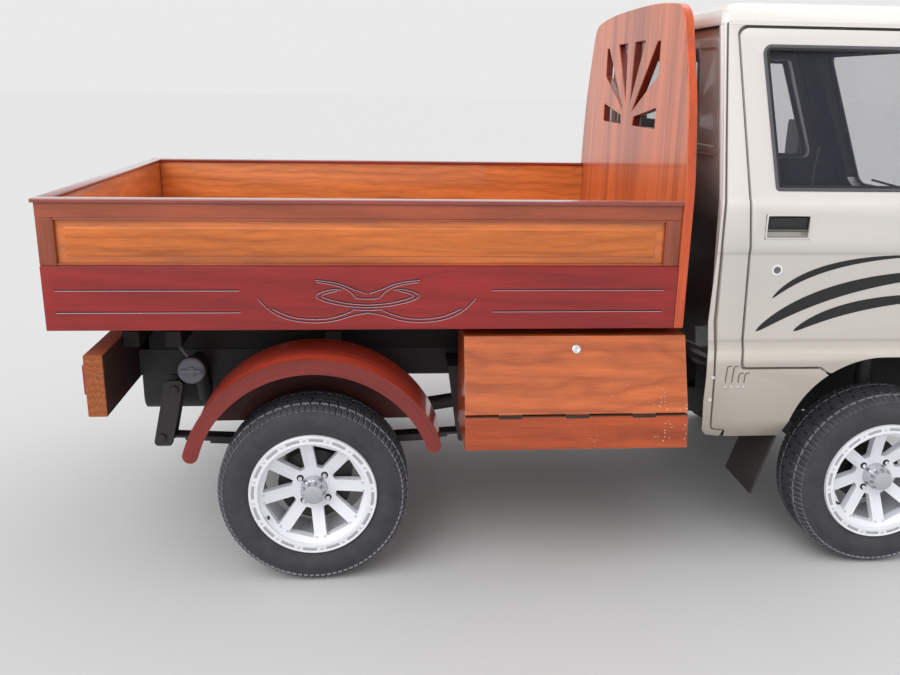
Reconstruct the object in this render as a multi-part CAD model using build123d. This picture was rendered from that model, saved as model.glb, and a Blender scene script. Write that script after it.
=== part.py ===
"""Small cab-over truck with a hand-built wooden load bed.

Axes: +X forward, +Y to the truck's left, +Z up, in millimetres.
Origin: on the ground, midway between the bed's rear end and the front bumper.
The truck is built from separate pieces: a ladder frame, axles, a hollow pressed
cab with doors, and a bed of framed panels with a tall pierced headboard.
"""
from build123d import *

import os
from math import cos, degrees, pi, radians, sin, sqrt

os.makedirs("parts", exist_ok=True)

# Overall sizes
WHEELBASE = 1840.0
REAR_OVERHANG = 757.0
FRONT_OVERHANG = 598.0
LENGTH = REAR_OVERHANG + WHEELBASE + FRONT_OVERHANG
rear_axle_x = -LENGTH / 2 + REAR_OVERHANG
front_axle_x = rear_axle_x + WHEELBASE
front_x = LENGTH / 2
BUMPER_REACH = 46.5  # the front bumper's face, ahead of the cab's own nose
SEAT_GAP = 0.3  # pieces of different bodies that seat on each other stay this far apart
SWING_GAP = 8.0  # open line round doors, lids and the tailgate

# Wheels
TYRE_DIAMETER = 590.0
TYRE_WIDTH = 185.0
FRONT_TRACK = 1235.0
REAR_TRACK = 1275.0
BEAD_RADIUS = 177.8
LIP_RADIUS = 197.0
RIM_HALF_WIDTH = 80.0
LIP_THICKNESS = 8.0
BARREL_WALL = 9.0
SPOKE_COUNT = 8
SPOKE_WIDTH = 38.0
SPOKE_DEPTH = 24.0
WINDOW_INNER_RADIUS = 70.0
WINDOW_OUTER_RADIUS = 157.0
HUB_FACE = 30.0  # outer face of the spokes at the hub, from the wheel's centre plane
SPOKE_END = 66.0  # and at their outer ends
HUB_RADIUS = 66.0
CAP_REACH = 56.0
WHEEL_TURN = -7.0  # how far the wheels have rolled, in degrees
STUB_RADIUS = 26.0
BORE_CLEARANCE = 0.2
wheel_z = TYRE_DIAMETER / 2
front_wheel_y = FRONT_TRACK / 2
rear_wheel_y = REAR_TRACK / 2

# Steering and front suspension
KINGPIN_Y = 488.0
STRUT_RADIUS = 24.0
STRUT_TOP_Z = 712.0
DISC_RADIUS = 112.0
ARM_Z = 205.0

# Ladder frame
RAIL_INNER_Y = 275.0
RAIL_WIDTH = 60.0
RAIL_HEIGHT = 92.0
RAIL_WALL = 8.0
REAR_RAIL_TOP_Z = 652.0
FRONT_RAIL_TOP_Z = 500.0
rail_outer_y = RAIL_INNER_Y + RAIL_WIDTH

TOW_EYE_RADIUS = 14.0
TOW_EYE_THICKNESS = 16.0

# Rear axle and leaf springs
AXLE_TUBE_RADIUS = 36.0
SPRING_Y = 450.0
LEAF_WIDTH = 50.0
LEAF_THICKNESS = 8.0
SPRING_HALF_LENGTH = 500.0
LEAF_SLOPE = 0.05
SHACKLE_PIVOT_Z = 560.0
DRUM_RADIUS = 115.0

# Bed
BED_WIDTH = 1400.0
BED_BOTTOM_Z = 815.0
BED_TOP_Z = 1196.0
BOARD_THICKNESS = 30.0
CAP_THICKNESS = 12.0
CAP_OVERHANG = 8.0
FLOOR_TOP_Z = 858.0
FLOOR_THICKNESS = 26.0
LOWER_BOARD_HEIGHT = 190.0
LOWER_BOARD_PROUD = 4.0
TOP_RAIL_HEIGHT = 42.0
STILE_WIDTH = 48.0
PANEL_RECESS = 12.0
PANEL_BEVEL = 28.0
PANEL_CROWN = 2.0
HEADBOARD_BACK = 1340.0  # from the front bumper's face
HEADBOARD_THICKNESS = 28.0
HEADBOARD_TOP_Z = 1780.0
HEADBOARD_SHOULDER = (568.0, 1697.0)  # (half width, height) where its side turns in
HEADBOARD_CORNER = (537.0, 1739.0)
HEADBOARD_CROWN = (470.0, 1761.0)
bed_rear_x = -LENGTH / 2
headboard_x = front_x - HEADBOARD_BACK
board_y = BED_WIDTH / 2 - CAP_OVERHANG
board_top_z = BED_TOP_Z - CAP_THICKNESS
lower_board_top_z = BED_BOTTOM_Z + LOWER_BOARD_HEIGHT
BEARER_HEIGHT = 74.0

# Cab: horizontal sections of its outer form, from the ground up
CAB_LEVELS = [
    # height, rear x, front x, half width
    (440.0, 399.0, 1537.0, 647.0),
    (500.0, 397.0, 1541.0, 676.0),
    (705.0, 388.0, 1550.0, 694.0),
    (742.0, 387.0, 1551.0, 693.0),
    (772.0, 386.0, 1545.0, 683.0),
    (1045.0, 378.0, 1514.0, 689.0),
    (1062.0, 378.0, 1511.6, 695.0),
    (1196.0, 373.0, 1454.0, 694.0),
    (1208.0, 372.0, 1448.8, 688.0),
    (1706.0, 352.0, 1235.0, 613.0),
    (1738.0, 362.0, 1206.0, 592.0),
    (1758.0, 394.0, 1162.0, 548.0),
    (1773.0, 500.0, 1040.0, 420.0),
]
BELT, SHOULDER = 8, 9  # the levels where the windows start and where the roof turns in
cab_nose = CAB_LEVELS[3][2] + BUMPER_REACH
cab_shift = front_x - cab_nose
arch_x = front_axle_x - cab_shift
FRONT_CORNER_RADIUS = 88.0
CORNER_FACETS = 5
REAR_CORNER_RADIUS = 16.0
CAB_WALL = 45.0
DOOR_SKIN = 14.0
REBATE_DEPTH = 22.0
REBATE_LAP = 14.0
INNER_DOOR_INSET = 23.0
FOOT_RADIUS = 38.0
BACK_RECESS = 20.0
BACK_EDGE = 24.0
BACK_BOTTOM_Z = 640.0
DOOR_TOP_Z = 1686.0
ROOF_SPLIT_Z = DOOR_TOP_Z + SWING_GAP
DOOR_BOTTOM_Z = 687.0
DOOR_FRONT_X = 1325.0
PILLAR_WIDTH = 95.0
GLASS_INSET = 8.0
GLASS_THICKNESS = 5.0
DOOR_CLEAR_Y = 630.0
HINGE_AXIS = (1321.0, -690.0)
HINGE_BARREL = 8.0
HINGE_LENGTH = 46.0
HINGE_HEIGHTS = (845.0, 1125.0)
HOUSING_WALL = 3.8
HOUSING_INNER_Y = 372.0
HOUSING_FRONT_X = 1350.0
FOOT_WELL_X = 1262.0
PLATE_THICKNESS = 3.0

# Steering wheel
STEERING_HUB = (1205.0, -320.0, 1085.0)
STEERING_AXIS = (-0.6428, 0.0, 0.7660)  # points up at the driver
STEERING_RADIUS = 182.0

# Wheel arch in the cab's side, from the front axle and the ground
ARCH_TOP_Z = 716.0
ARCH_HALF_TOP = 276.0
ARCH_HALF_BOTTOM = 359.0
ARCH_BOTTOM_Z = 397.0
ARCH_CORNER_RADIUS = 285.0
HOUSING_BOTTOM_Z = 477.0

# Rear fenders, bent from wood, centred over the rear axle
FENDER_RADIUS = 408.0
FENDER_BAND = 46.0
FENDER_CENTRE_Z = 326.0
FENDER_OUTER_Y = 732.0
FENDER_INNER_Y = 504.0
FENDER_SKIN = 12.0
FENDER_LIP = 16.0
FENDER_FOOT = 92.0  # its ends, above its centre
FENDER_BOARD_Z = 462.0

# Toolboxes under the bed, ahead of the rear wheels
BOX_REAR = 460.0  # from the rear axle
BOX_FRONT_GAP = 40.0  # its front end, ahead of the headboard's rear face
box_length = headboard_x + BOX_FRONT_GAP - rear_axle_x - BOX_REAR
BOX_TOP_Z = 790.0
BOX_SEAM_Z = 565.0
BOX_BOTTOM_Z = 465.0
BOX_TOP_Y = 690.0
BOX_SEAM_Y = 778.0
BOX_BOTTOM_Y = 792.0
BOX_INNER_Y = 490.0
BOX_WALL = 18.0
LID_HINGE_RADIUS = 4.0
LID_SEAM = 6.0

# Wooden rear bumper
REAR_BUMPER_X = 655.0  # its rear face, behind the rear axle
REAR_BUMPER_THICKNESS = 57.0
REAR_BUMPER_BOTTOM_Z = 551.0
REAR_BUMPER_HEIGHT = 191.0


def span(low, high):
    return (low + high) / 2, abs(high - low)


def block(x, y, z):
    """A block between two limits on each axis."""
    (cx, dx), (cy, dy), (cz, dz) = span(*x), span(*y), span(*z)
    return Pos(cx, cy, cz) * Box(dx, dy, dz)


def outline(corners):
    """A flat face from corners (a, b) or (a, b, rounding radius)."""
    face = make_face(Polyline(*[c[:2] for c in corners], close=True))
    for corner in corners:
        if len(corner) > 2 and corner[2]:
            vertex = face.vertices().sort_by_distance((corner[0], corner[1]))[0]
            face = fillet(vertex, corner[2])
    return face


def along_x(face, x0, x1):
    """Extrudes a face drawn in (Y, Z)."""
    plane = Plane((x0, 0, 0), x_dir=(0, 1, 0), z_dir=(1, 0, 0))
    return extrude(plane * face, amount=x1 - x0, dir=(1, 0, 0))


def along_y(face, y0, y1):
    """Extrudes a face drawn in (X, Z)."""
    plane = Plane((0, y0, 0), x_dir=(1, 0, 0), z_dir=(0, -1, 0))
    return extrude(plane * face, amount=y1 - y0, dir=(0, 1, 0))


def along_z(face, z0, z1):
    """Extrudes a face drawn in (X, Y)."""
    return extrude(Plane((0, 0, z0)) * face, amount=z1 - z0, dir=(0, 0, 1))


def rod(start, end, radius):
    """A round bar between two points."""
    a, b = Vector(start), Vector(end)
    plane = Plane(origin=a, z_dir=b - a)
    return extrude(plane * Circle(radius), amount=(b - a).length)


def ring(points, y0=0.0):
    """A solid turned about the Y axis from an outline in (y, radius)."""
    plane = Plane((0, y0, 0), x_dir=(0, 1, 0), z_dir=(1, 0, 0))
    return revolve(plane * outline(points), axis=Axis.Y)


def flip(shape):
    """The same piece on the other side of the truck."""
    return mirror(shape, about=Plane.XZ)


def save_cab(node, *shapes):
    """Writes a node of the cab, moved from the cab's own coordinates to the truck's."""
    save(node, *[Pos(cab_shift, 0, 0) * shape for shape in shapes])


def save(node, *shapes):
    """Writes one node, which may hold several solids that don't touch."""
    solids = [s for shape in shapes for s in shape.solids()]
    export_step(solids[0] if len(solids) == 1 else Compound(children=solids), f"parts/{node}.step")


# Wheels

def tyre():
    bead, crown, half = RIM_HALF_WIDTH, TYRE_DIAMETER / 2, TYRE_WIDTH / 2
    edges = [
        Polyline((-bead, LIP_RADIUS), (-bead, BEAD_RADIUS), (bead, BEAD_RADIUS), (bead, LIP_RADIUS)),
        ThreePointArc((bead, LIP_RADIUS), (half, LIP_RADIUS + 38), (half - 6, crown - 22)),
        ThreePointArc((half - 6, crown - 22), (half - 13, crown - 6), (half - 28, crown)),
        Line((half - 28, crown), (28 - half, crown)),
        ThreePointArc((28 - half, crown), (13 - half, crown - 6), (6 - half, crown - 22)),
        ThreePointArc((6 - half, crown - 22), (-half, LIP_RADIUS + 38), (-bead, LIP_RADIUS)),
    ]
    plane = Plane((0, 0, 0), x_dir=(0, 1, 0), z_dir=(1, 0, 0))
    return revolve(plane * make_face(edges), axis=Axis.Y)


def alloy_wheel():
    """An eight-spoke rim whose outer face looks along +Y."""
    inner = BEAD_RADIUS - BARREL_WALL
    half, lip = RIM_HALF_WIDTH, LIP_THICKNESS
    barrel = ring([
        (-half - lip, inner), (-half - lip, LIP_RADIUS), (-half, LIP_RADIUS), (-half, BEAD_RADIUS),
        (half, BEAD_RADIUS), (half, LIP_RADIUS), (half + lip, LIP_RADIUS - 3), (half + lip, inner),
    ])
    face = ring([
        (HUB_FACE - SPOKE_DEPTH, STUB_RADIUS + BORE_CLEARANCE), (HUB_FACE, STUB_RADIUS + BORE_CLEARANCE),
        (HUB_FACE, HUB_RADIUS), (SPOKE_END, WINDOW_OUTER_RADIUS),
        (SPOKE_END + 9, inner), (SPOKE_END - SPOKE_DEPTH, inner),
        (HUB_FACE - SPOKE_DEPTH, HUB_RADIUS),
    ])
    pitch = 2 * pi / SPOKE_COUNT
    edge = SPOKE_WIDTH / 2
    window = []
    low, far = WINDOW_INNER_RADIUS, WINDOW_OUTER_RADIUS
    for radius, sign in ((low, 1), (far, 1), (far, -1), (low, -1)):
        along = sqrt(radius**2 - edge**2)
        turn = sign * pitch / 2
        across = sign * edge
        window.append((along * cos(turn) + across * sin(turn), along * sin(turn) - across * cos(turn), 5.0))
    cutter = along_y(outline(window), -10, half + 20)
    for i in range(SPOKE_COUNT):
        face -= Rot(0, degrees(pitch) * (i + 0.5), 0) * cutter
    foot = (Align.CENTER, Align.CENTER, Align.MIN)
    cap = Pos(0, HUB_FACE - 2, 0) * Rot(-90, 0, 0) * Cone(38, 29, CAP_REACH, align=foot)
    return Rot(0, WHEEL_TURN, 0) * (barrel + face + cap)


def wheel_nodes():
    tyre_shape, wheel_shape = tyre(), alloy_wheel()
    for end, x, y in (("front", front_axle_x, front_wheel_y), ("rear", rear_axle_x, rear_wheel_y)):
        for word, side in (("right", -1), ("left", 1)):
            place = Pos(x, side * y, wheel_z)
            save(f"tyre_{end}_{word}", place * tyre_shape)
            save(f"wheel_{end}_{word}", place * (wheel_shape if side > 0 else flip(wheel_shape)))


def stub(x, side, inner_y, wheel_y):
    """The stub axle that a wheel turns on."""
    end = wheel_y + HUB_FACE - 3
    return rod((x, side * inner_y, wheel_z), (x, side * end, wheel_z), STUB_RADIUS)


# Chassis

def rail_outline(shrink=0.0):
    top = [
        (rear_axle_x - REAR_BUMPER_X + REAR_BUMPER_THICKNESS, REAR_RAIL_TOP_Z),
        (rear_axle_x + 760, REAR_RAIL_TOP_Z),
        (rear_axle_x + 1080, FRONT_RAIL_TOP_Z),
        (front_x - 110, FRONT_RAIL_TOP_Z),
    ]
    bottom = [(x, z - RAIL_HEIGHT) for x, z in reversed(top)]
    rounded = []
    for row in (top, bottom):
        rounded += [row[0], (*row[1], 60), (*row[2], 60), row[3]]
    return rounded


def frame():
    rail = along_y(outline(rail_outline()), RAIL_INNER_Y, rail_outer_y)
    save("frame_rails", rail, flip(rail))
    members = []
    rear_end = rear_axle_x - REAR_BUMPER_X + REAR_BUMPER_THICKNESS
    for x, top in (
        (rear_end + 60, REAR_RAIL_TOP_Z),
        (rear_axle_x - 160, REAR_RAIL_TOP_Z),
        (rear_axle_x + 420, REAR_RAIL_TOP_Z),
        (rear_axle_x + 720, REAR_RAIL_TOP_Z),
        (front_x - 150, FRONT_RAIL_TOP_Z),
    ):
        height = (top - RAIL_HEIGHT + 12, top - 12)
        members.append(block((x - 30, x + 30), (-RAIL_INNER_Y, RAIL_INNER_Y), height))
    for i, x, y, low, high in ((0, rear_end + 62, 230, 500, 590), (-1, front_x - 138, 0, 350, 440)):
        eye = block((x - 26, x + 26), (y - TOW_EYE_THICKNESS / 2, y + TOW_EYE_THICKNESS / 2), (low, high))
        eye -= rod((x, y - 20, low + 28), (x, y + 20, low + 28), TOW_EYE_RADIUS)
        members[i] += eye
    for x, top in ((500 + cab_shift, 840), (1420 + cab_shift, 560)):
        for low, high in ((-rail_outer_y, -RAIL_INNER_Y), (RAIL_INNER_Y, rail_outer_y)):
            members.append(block((x - 20, x + 20), (low, high), (FRONT_RAIL_TOP_Z, top)))
    save("cross_members", *members)


def rear_axle():
    tube = rod((rear_axle_x, -520, wheel_z), (rear_axle_x, 520, wheel_z), AXLE_TUBE_RADIUS)
    shape = tube + Pos(rear_axle_x, 0, wheel_z) * Sphere(112)
    shape += rod((rear_axle_x, 0, wheel_z), (rear_axle_x + 190, 0, wheel_z), 52)
    drum_y = rear_wheel_y + HUB_FACE - SPOKE_DEPTH - 5
    for side in (-1, 1):
        shape += rod((rear_axle_x, side * 522, wheel_z), (rear_axle_x, side * drum_y, wheel_z), DRUM_RADIUS)
        shape += stub(rear_axle_x, side, 520, rear_wheel_y)
        seat = (side * (SPRING_Y - 32), side * (SPRING_Y + 32))
        shape += block((rear_axle_x - 60, rear_axle_x + 60), seat, (wheel_z, wheel_z + AXLE_TUBE_RADIUS + 8))
    save("rear_axle", shape)


def leaf_spring():
    """One spring pack with its shackle, its hangers and the clamp over the axle, at +Y."""
    base = wheel_z + AXLE_TUBE_RADIUS + 8
    y0, y1 = SPRING_Y - LEAF_WIDTH / 2, SPRING_Y + LEAF_WIDTH / 2
    pack = None
    for i, share in enumerate((0.34, 0.52, 0.70, 0.86, 1.0)):
        low = base + i * LEAF_THICKNESS
        half = SPRING_HALF_LENGTH * share
        rise = LEAF_SLOPE * (half - 60)
        edge = [
            (rear_axle_x - half, low + rise), (rear_axle_x - 60, low),
            (rear_axle_x + 60, low), (rear_axle_x + half, low + rise),
        ]
        points = [(x, z) for x, z in edge] + [(x, z + LEAF_THICKNESS) for x, z in reversed(edge)]
        leaf = along_y(outline(points), y0, y1)
        pack = leaf if pack is None else pack + leaf
    eye_z = base + 4.5 * LEAF_THICKNESS + LEAF_SLOPE * (SPRING_HALF_LENGTH - 60)
    rear_x, fore_x = rear_axle_x - SPRING_HALF_LENGTH, rear_axle_x + SPRING_HALF_LENGTH
    for x in (rear_x, fore_x):
        pack += rod((x, y0, eye_z), (x, y1, eye_z), 20)
    top_x = rear_x + 50
    shackle_face = outline([
        (rear_x - 30, eye_z - 30, 14), (rear_x + 30, eye_z - 30, 14),
        (top_x + 30, SHACKLE_PIVOT_Z + 30, 14), (top_x - 30, SHACKLE_PIVOT_Z + 30, 14),
    ])
    for low in (y0 - 12, y1):
        pack += along_y(shackle_face, low, low + 12)
    pack += rod((top_x, rail_outer_y, SHACKLE_PIVOT_Z), (top_x, y1 + 12, SHACKLE_PIVOT_Z), 18)
    hanger_top = REAR_RAIL_TOP_Z - 20
    hanger = outline([
        (fore_x - 34, eye_z - 28, 10), (fore_x + 34, eye_z - 28, 10),
        (fore_x + 70, hanger_top), (fore_x - 70, hanger_top),
    ])
    pack += along_y(hanger, y1, y1 + 10) + along_y(hanger, y0 - 10, y0)
    pack += block((fore_x - 70, fore_x + 70), (rail_outer_y, y1 + 10), (hanger_top - 10, hanger_top))
    clamp_z = base + 5 * LEAF_THICKNESS
    pack += block((rear_axle_x - 55, rear_axle_x + 55), (y0 - 8, y1 + 8), (clamp_z, clamp_z + 10))
    return pack


def front_suspension():
    """The cross beam and the two lower arms, which end under the knuckles."""
    x, rail_z = front_axle_x, FRONT_RAIL_TOP_Z - RAIL_HEIGHT
    shape = block((x - 50, x + 50), (-rail_outer_y, rail_outer_y), (rail_z - 190, rail_z - 120))
    for side in (-1, 1):
        shape += block((x - 45, x + 45), (side * RAIL_INNER_Y, side * rail_outer_y), (rail_z - 130, rail_z))
        arm = outline([
            (x - 70, side * 300), (x + 70, side * 300),
            (x + 28, side * (KINGPIN_Y + 24), 12), (x - 28, side * (KINGPIN_Y + 24), 12),
        ])
        shape += along_z(arm, ARM_Z - 14, ARM_Z + 14)
        shape += block((x - 60, x + 60), (side * 280, side * 330), (ARM_Z - 20, rail_z - 120))
    save("front_suspension", shape)


def knuckle():
    """The right-hand upright with its disc, stub axle, steering arm and strut."""
    x, side = front_axle_x, -1
    y = side * KINGPIN_Y
    foot = ARM_Z + 14 + SEAT_GAP
    shape = rod((x, y, foot), (x, y, wheel_z + 90), 30)
    shape += rod((x, y, wheel_z + 80), (x, y, STRUT_TOP_Z - SEAT_GAP), STRUT_RADIUS)
    shape += rod((x, y, wheel_z), (x, side * 545, wheel_z), 46)
    hub_y = front_wheel_y + HUB_FACE - SPOKE_DEPTH - 5
    shape += rod((x, side * 545, wheel_z), (x, side * hub_y, wheel_z), 60)
    shape += rod((x, side * 570, wheel_z), (x, side * 590, wheel_z), DISC_RADIUS)
    shape += stub(x, side, 540, front_wheel_y)
    shape += block((x - 130, x), (y - 12, y + 12), (wheel_z - 50, wheel_z - 26))
    return shape


def drivetrain():
    """The engine as one plain block between the rails, its gearbox and the shaft to the rear axle."""
    sump = FRONT_RAIL_TOP_Z - RAIL_HEIGHT - 20
    engine = block((front_axle_x - 480, front_axle_x - 80), (-230, 230), (sump, 690))
    gearbox = rod((front_axle_x - 780, 0, 440), (front_axle_x - 480, 0, 440), 95)
    flange = rod((rear_axle_x + 190, 0, wheel_z), (rear_axle_x + 206, 0, wheel_z), 50)
    shaft = rod((rear_axle_x + 200, 0, wheel_z), (front_axle_x - 775, 0, 430), 28)
    save("drivetrain", engine + gearbox + flange + shaft)


def exhaust():
    y, z = 175.0, 455.0
    muffler = rod((rear_axle_x + 300, y, z), (rear_axle_x + 700, y, z), 62)
    front = rod((rear_axle_x + 700, y, z), (front_axle_x - 480, y, z), 19)
    bends = ((300, z), (190, z), (90, z + 40), (-120, z + 40), (-220, z - 60), (-620, z - 60))
    points = [(rear_axle_x + x, y, height) for x, height in bends]
    path = FilletPolyline(*points, radius=[40, 40, 40, 40])
    tail = sweep(Plane(origin=points[0], z_dir=(-1, 0, 0)) * Circle(19), path=path)
    save("exhaust", muffler + front + tail)


def fuel_tank():
    """The tank under the rails behind the rear axle, with its filler neck on the right."""
    x0, x1 = rear_axle_x - 590, rear_axle_x - 255
    top = REAR_RAIL_TOP_Z - RAIL_HEIGHT
    face = outline([(-330, top), (-330, 428, 60), (150, 428, 60), (150, top)])
    tank = along_x(face, x0, x1)
    neck_x, neck_z, neck_y = rear_axle_x - 386, 634.0, -400.0
    tank += rod((neck_x, -322, 480), (neck_x, neck_y, neck_z), 24)
    tank += rod((neck_x, neck_y + 14, neck_z), (neck_x, -492, neck_z), 24)
    tank += rod((neck_x, -492, neck_z), (neck_x, -514, neck_z), 43)
    save("fuel_tank", tank)


# Cab

def cab_ring(level, inset):
    """One closed row of points round the cab at a level, drawn in by a distance."""
    z, rear, front, half = CAB_LEVELS[level]
    z -= inset if level >= SHOULDER else 0
    rear, front, half = rear + inset, front - inset, half - inset
    points = []
    for x, y, radius, start in (
        (front, half, FRONT_CORNER_RADIUS, 0), (rear, half, REAR_CORNER_RADIUS, 90),
        (rear, -half, REAR_CORNER_RADIUS, 180), (front, -half, FRONT_CORNER_RADIUS, 270),
    ):
        radius = max(radius - inset, 6)
        cx = x - radius if x == front else x + radius
        cy = y - radius if y > 0 else y + radius
        steps = CORNER_FACETS if x == front else 1
        for i in range(steps + 1):
            turn = radians(start + 90 * i / steps)
            points.append(Vector(cx + radius * cos(turn), cy + radius * sin(turn), z))
    return points


def cab_form(inset):
    """The cab's solid form in flat facets, drawn in from its outer skin by a distance."""
    rings = [cab_ring(level, inset) for level in range(len(CAB_LEVELS))]
    faces = [Face(Wire.make_polygon(rings[0])), Face(Wire.make_polygon(rings[-1]))]
    for low, high in zip(rings, rings[1:]):
        for i in range(len(low)):
            j = (i + 1) % len(low)
            faces.append(Face(Wire.make_polygon([low[i], low[j], high[j], high[i]])))
    return Solid(Shell(faces))


def windscreen_x(z, back=0.0):
    """The front of the cab's outer form above the belt, or a line a distance behind it."""
    (z0, _, x0, _), (z1, _, x1, _) = CAB_LEVELS[BELT], CAB_LEVELS[SHOULDER]
    return x0 + (x1 - x0) * (z - z0) / (z1 - z0) - back


def windscreen_z(x, back=0.0):
    (z0, _, x0, _), (z1, _, x1, _) = CAB_LEVELS[BELT], CAB_LEVELS[SHOULDER]
    return z0 + (z1 - z0) * (x + back - x0) / (x1 - x0)


def door_outline(grow=0.0):
    """The door's edge in (X, Z), moved outwards by a distance."""
    sill, front = DOOR_BOTTOM_Z - 22, DOOR_FRONT_X + grow
    return outline([
        (403 - grow, DOOR_TOP_Z + grow, 26), (461 - grow, 1215), (477 - grow, 1052),
        (490 - grow, DOOR_BOTTOM_Z - grow, 14),
        (740, DOOR_BOTTOM_Z - grow), (772, sill - grow), (front, sill - grow),
        (front, windscreen_z(front, PILLAR_WIDTH - grow)),
        (windscreen_x(DOOR_TOP_Z, PILLAR_WIDTH - grow), DOOR_TOP_Z + grow, 20),
    ])


def window_outline(grow=0.0):
    """The side window's edge in (X, Z)."""
    top, bottom = 1641.0, 1229.0
    return outline([
        (472 - grow, top + grow, 24), (535 - grow, bottom - grow, 14),
        (DOOR_FRONT_X - 60 + grow, bottom - grow, 20),
        (DOOR_FRONT_X - 60 + grow, windscreen_z(DOOR_FRONT_X - 60, PILLAR_WIDTH + 64), 30),
        (windscreen_x(top, PILLAR_WIDTH + 64) + grow, top + grow, 24),
    ])


def arch_form(grow, y0, y1):
    """The wheel arch's opening as a solid, grown by a distance."""
    low, radius = ARCH_BOTTOM_Z, ARCH_CORNER_RADIUS
    half, foot, top = ARCH_HALF_TOP + grow, ARCH_HALF_BOTTOM + grow, ARCH_TOP_Z + grow
    return along_y(outline([
        (arch_x - foot, low), (arch_x - half, top, radius),
        (arch_x + half, top, radius), (arch_x + foot, low),
    ]), y0, y1)


def back_zone(low):
    """The space of the cab's rear wall above a height, between the flanges of the quarters."""
    (z0, x0, _, _), (z1, x1, _, _) = CAB_LEVELS[BELT], CAB_LEVELS[SHOULDER]
    deep = BACK_RECESS + CAB_WALL
    high = ROOF_SPLIT_Z
    lean = (x1 - x0) / (z1 - z0)
    slab = along_y(outline([
        (300, low), (x0 + deep + lean * (low - z0), low), (x0 + deep + lean * (high - z0), high), (300, high),
    ]), -800, 800)
    sides = [(659, low), (659, 1045), (664, z0), (CAB_LEVELS[SHOULDER][3] - BACK_EDGE, high)]
    return slab & along_x(outline(sides + [(-y, z) for y, z in reversed(sides)]), 200, 700)


def cab():
    """The cab's pressed shell in panels, the doors that fill its sides, and the glass."""
    skin, inside = cab_form(0), cab_form(CAB_WALL)
    door_back, rebate = cab_form(DOOR_SKIN), cab_form(REBATE_DEPTH)
    shell = skin - inside
    arch = arch_form(0, -900, 900)
    reach, high = (-800, 800), (0, 2000)

    rebate_cut = along_y(door_outline(SWING_GAP), *reach) - rebate
    hollow = shell - rebate_cut - along_y(door_outline(-REBATE_LAP), *reach) - arch
    save_cab("cab_roof", hollow & block(high, reach, (ROOF_SPLIT_Z, 1900)))
    walls = hollow - block(high, reach, (ROOF_SPLIT_Z, 1900))
    back = cab_form(BACK_RECESS) & back_zone(BACK_BOTTOM_Z)
    foot_x, foot_z = CAB_LEVELS[0][1] + FOOT_RADIUS, CAB_LEVELS[0][0] + FOOT_RADIUS
    corner = block((foot_x - 90, foot_x), reach, (foot_z - 90, foot_z))
    corner -= rod((foot_x, -850, foot_z), (foot_x, 850, foot_z), FOOT_RADIUS)
    save_cab("cab_quarters", (walls & block((300, 900), reach, high)) - back_zone(400) - corner)

    window = [(-400, 1345, 40), (400, 1345, 40), (380, 1640, 40), (-380, 1640, 40)]
    window = along_x(outline(window), 200, 600)
    pane = BACK_RECESS + GLASS_INSET
    save_cab("cab_back", back - window)
    save_cab("rear_window", (cab_form(pane) - cab_form(pane + GLASS_THICKNESS)) & window)

    front = walls & block((900, 2000), reach, high)
    screen = [(-590, 1112, 50), (590, 1112, 50), (528, 1664, 50), (-528, 1664, 50)]
    screen = along_x(outline(screen), 1000, 1700)
    front -= screen + grille_block()
    for side in (-1, 1):
        front -= headlamp(side) + turn_lamp(side)
    for side in (-1, 1):
        for z in HINGE_HEIGHTS:
            leaf_x = HINGE_AXIS[0] + HINGE_BARREL + SEAT_GAP
            height = (z - HINGE_LENGTH / 2, z + HINGE_LENGTH / 2)
            front += block((leaf_x, leaf_x + 26), (side * 684, side * 697), height)
    save_cab("cab_front", front)
    glass = cab_form(GLASS_INSET) - cab_form(GLASS_INSET + GLASS_THICKNESS)
    save_cab("windscreen", glass & screen)

    right = (-800, 0)
    rim_cut = along_y(door_outline(2), *right) - along_y(door_outline(-INNER_DOOR_INSET), *right)
    rim_cut &= door_back
    window_hole = along_y(window_outline(), *right)
    door = (shell & along_y(door_outline(), *right)) - rim_cut - arch - window_hole - door_handle_recess()
    for z in HINGE_HEIGHTS:
        door += Pos(*HINGE_AXIS, z) * Cylinder(HINGE_BARREL, HINGE_LENGTH)
    door_glass = glass & window_hole
    save_cab("door_right", door)
    save_cab("door_left", flip(door))
    save_cab("door_glass_right", door_glass)
    save_cab("door_glass_left", flip(door_glass))


def headlamp(side):
    return block((1480, 1556), (side * 380, side * 590), (742, 880))


def turn_lamp(side):
    return block((1500, 1556), (side * 380, side * 590), (690, 728))


def grille_block():
    return block((1480, 1545), (-350, 350), (775, 860))


def door_handle_recess():
    """The cup behind the right door's flap handle."""
    return block((510, 650), (-720, -672), (1087, 1161))


def floor_line(step):
    """The floor's section: over the engine, over the front wheels, down to the foot well."""
    return outline([
        (451.8, 870), (905, 870), (925, 750), (step + 14, 750), (step + 26, 590), (1560, 590), (1560, 560),
        (step + 2, 560), (step - 10, 720), (895, 720), (875, 840), (451.8, 840),
    ])


def cab_floor():
    """One pressing, whose foot well runs further back between the wheel housings."""
    side_y = HOUSING_INNER_Y - 4
    floor = along_y(floor_line(FOOT_WELL_X), -side_y, side_y)
    for side in (-1, 1):
        low, high = sorted((side * side_y, side * 700))
        floor += along_y(floor_line(HOUSING_FRONT_X), low, high)
        flank = (side * (side_y - 6), side * (side_y + 3.7))
        floor += block((FOOT_WELL_X + 2, HOUSING_FRONT_X + 14), flank, (560, 745))
    floor &= cab_form(CAB_WALL)
    for side in (-1, 1):
        floor -= block((300, DOOR_FRONT_X + SWING_GAP), (side * DOOR_CLEAR_Y, side * 720), (500, 900))
    return floor


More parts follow.
